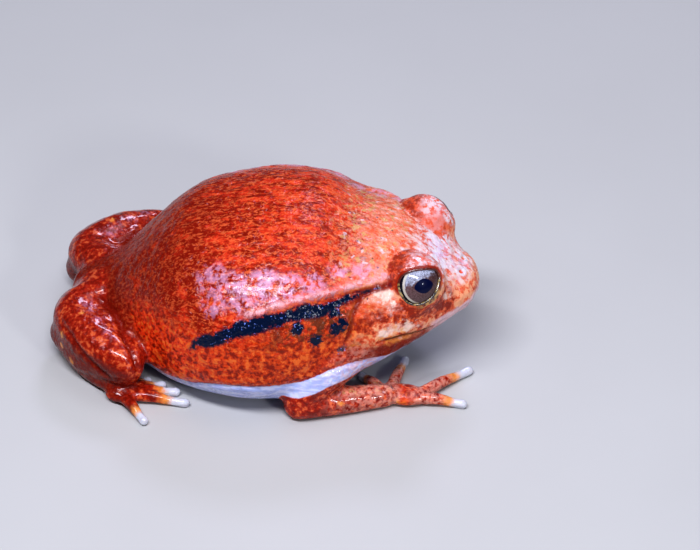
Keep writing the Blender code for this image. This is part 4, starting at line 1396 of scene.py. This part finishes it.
def eye_material():
    """Rings by distance from the gaze; the pupil is |a|^1.6 + |u|^1.6 < 1 in its own half sizes."""
    f = Finish("frog_eye")
    gaze = f.mark("gaze", "Vector")
    ahead, up = f.split(gaze)[1:]
    across = (ahead * ahead + up * up).of("SQRT")
    grain = f.noise(gaze, 0.022, 2.0, 0.6)
    streak = f.noise(gaze, 0.10, 2.0, 0.5) - 0.5
    upper = (up * 1.3 - ahead * 0.35 + streak * 0.8).step(0.15, 0.55)
    bronze = f.mix(IRIS_BROWN, IRIS_MAUVE, (grain - ahead * 0.10).step(0.46, 0.60) * 0.8)
    silver = f.mix(IRIS_SILVER, IRIS_BROWN, grain.step(0.50, 0.60) * 0.7)
    iris = f.mix(bronze, silver, upper)
    worms = streak.of("ABSOLUTE").step(0.030, 0.012)
    iris = f.mix(iris, IRIS_CRACK, worms * upper * 0.85)
    ring = (across + (grain - 0.5) * 0.06).step(0.665, 0.70) * ahead.step(0.0, -0.5)
    iris = f.mix(iris, IRIS_EDGE, ring * 0.8)
    iris = f.mix(iris, EYE_DARK, (across + (grain - 0.5) * 0.03).step(0.745, 0.76))
    form = (ahead * (1 / PUPIL_AHEAD)).power(PUPIL_POWER) + (up * (1 / PUPIL_UP)).power(PUPIL_POWER)
    pupil = form.step(1.06, 0.97)
    iris = f.mix(iris, PUPIL_BLACK, pupil)
    return f.shine({
        "Base Color": iris, "Roughness": 0.4, "Specular IOR Level": 0.1,
        "Coat Weight": 1 - pupil * 0.7, "Coat Roughness": 0.02, "Coat IOR": 1.4,
    })


def rim_material():
    """Dark red above, yellow-cream flecked with black below."""
    f = Finish("lid_rim")
    fleck = f.noise(f.millimetres(), 0.7, 3.0)
    below = f.mix(RIM_YELLOW, RIM_FLECK, fleck.step(0.40, 0.54))
    paint = f.mix(below, RIM_RED, (f.mark("upper") + fleck * 0.4).step(0.25, 0.55))
    return f.shine({
        "Base Color": paint, "Roughness": 0.3, "Coat Weight": 1.0, "Coat Roughness": 0.08,
    })


eye_finish, rim_finish = eye_material(), rim_material()
for eye, rim in zip(eyes, rims):
    eye.data.materials.append(eye_finish)
    rim.data.materials.append(rim_finish)
print("finishes:", eye_finish.name, rim_finish.name)

# %% [markdown]
# ## Which solid each piece stands for
#
# The frog has no joints, so every piece rides on the one body. The skin stands for all the
# solids of flesh, each eyeball for its own solid, and the rims are trimmings of the skin.

# %% Joining the pieces to the frame
flesh = sorted(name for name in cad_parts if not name.startswith("eye"))
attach(skin, "root")
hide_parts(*flesh)
for name, eye, rim in zip(SIDES, eyes, rims):
    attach(eye, "root")
    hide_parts("eye_" + name)
    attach(rim, "root")
print("the skin stands for", len(flesh), "solids")

# %% [markdown]
# ## Floor and light
#
# A pale floor shows the frog's outline and catches its shadow. Wet skin is seen mostly by what
# it mirrors, so the main lamps are wide and soft: a long sheet overhead towards the viewer draws
# the pale sheen along back and flank, and a weaker one lies over the nape. Smaller lamps behind,
# low on the far side and in front put points of light on eye, snout and limbs. A faint sky fills
# the shadows, and the look raises the contrast a little, as suits a vivid animal.

# %% Floor, lamps and sky
FLOOR_HALF = 1.5  # half the floor's side, in metres
FLOOR_GREY, FLOOR_PALE = colour(0.46, 0.455, 0.44), colour(0.50, 0.495, 0.48)
COOL_WHITE, SKY_BLUE, SKY = (0.86, 0.88, 1.0), (0.72, 0.72, 1.0), colour(0.80, 0.86, 1.0)


def floor():
    """A flat square at height 0."""
    mesh = bpy.data.meshes.new("floor")
    corners = np.array([(-1, -1, 0), (1, -1, 0), (1, 1, 0), (-1, 1, 0)]) * FLOOR_HALF
    mesh.from_pydata(corners.tolist(), [], [(0, 1, 2, 3)])
    obj = bpy.data.objects.new("floor", mesh)
    bpy.context.scene.collection.objects.link(obj)
    f = Finish("pale_floor")
    paint = f.mix(FLOOR_GREY, FLOOR_PALE, f.noise(f.millimetres(), 60.0, 3.0))
    mesh.materials.append(f.shine({"Base Color": paint, "Roughness": 0.7}))


def lamp(name, direction, distance, size, power, tint):
    """A sheet of light at a distance in some direction, facing the frog; lengths in metres."""
    light = bpy.data.lights.new(name, "AREA")
    light.shape = "RECTANGLE"
    light.size, light.size_y = size
    light.energy = power
    light.color = tint
    obj = bpy.data.objects.new(name, light)
    way = Vector(direction).normalized()
    obj.location = way * distance
    obj.rotation_euler = way.to_track_quat("Z", "Y").to_euler()
    obj.visible_camera = False
    bpy.context.scene.collection.objects.link(obj)


floor()
lamp("overhead", (-0.10, -0.42, 0.88), 0.6, (0.44, 0.09), 3.8, COOL_WHITE)
lamp("nape", (0.26, 0.12, 0.95), 0.6, (0.36, 0.30), 0.7, COOL_WHITE)
lamp("behind", (0.06, 0.72, 0.69), 0.7, (0.16, 0.12), 1.0, SKY_BLUE)
lamp("low", (0.5, 0.87, 0.16), 0.9, (0.36, 0.12), 0.25, (0.85, 0.88, 1.0))
lamp("front", (0.60, -0.66, 0.46), 0.8, (0.10, 0.08), 1.4, (0.90, 0.93, 1.0))
world = bpy.data.worlds.new("sky")
world.use_nodes = True
background = world.node_tree.nodes["Background"]
background.inputs["Color"].default_value = SKY
background.inputs["Strength"].default_value = 0.05
bpy.context.scene.world = world
bpy.context.scene.view_settings.view_transform = "Standard"
bpy.context.scene.view_settings.look = "Medium High Contrast"

# %% [markdown]
# ## Camera
#
# A long lens from the frog's right side, looking down at it steeply, turned a little so that
# the frog sits left of the middle. The camera is turned and not shifted, so its three square
# directions are worked out here and set as a matrix.

# %% The camera
AZIMUTH, ELEVATION, DISTANCE = math.radians(8.5), math.radians(38), 700.0
PICTURE_WIDTH, PIXELS_PER_MM = 700, 4.55
SENSOR = 36.0
TARGET = np.array([0, 0, 15.0])
MIDDLE_RIGHT, MIDDLE_UP = 82, 6  # pixels from the target to the picture's middle


def square_up(back, right):
    """Three square directions as columns, from the way back and a way that is nearly right."""
    back = unit(back)
    right = unit(right - (right @ back) * back)
    return np.stack([right, np.cross(back, right), back], 1)


back = np.array([
    math.sin(AZIMUTH) * math.cos(ELEVATION),
    -math.cos(AZIMUTH) * math.cos(ELEVATION),
    math.sin(ELEVATION),
])
right = np.array([math.cos(AZIMUTH), math.sin(AZIMUTH), 0])
up = np.cross(back, right)
position = TARGET + DISTANCE * back
aim = TARGET + (MIDDLE_RIGHT * right + MIDDLE_UP * up) / PIXELS_PER_MM
turned = Matrix(square_up(position - aim, right).tolist()).to_4x4()
camera = bpy.data.objects.new("camera", bpy.data.cameras.new("camera"))
camera.data.sensor_width = SENSOR
camera.data.lens = SENSOR * PIXELS_PER_MM * DISTANCE / PICTURE_WIDTH
camera.data.clip_start, camera.data.clip_end = 0.01, 10
camera.matrix_world = Matrix.Translation(Vector((position + CENTRING) * MM)) @ turned
bpy.context.scene.collection.objects.link(camera)
bpy.context.scene.camera = camera
print("lens in mm:", round(camera.data.lens, 1))
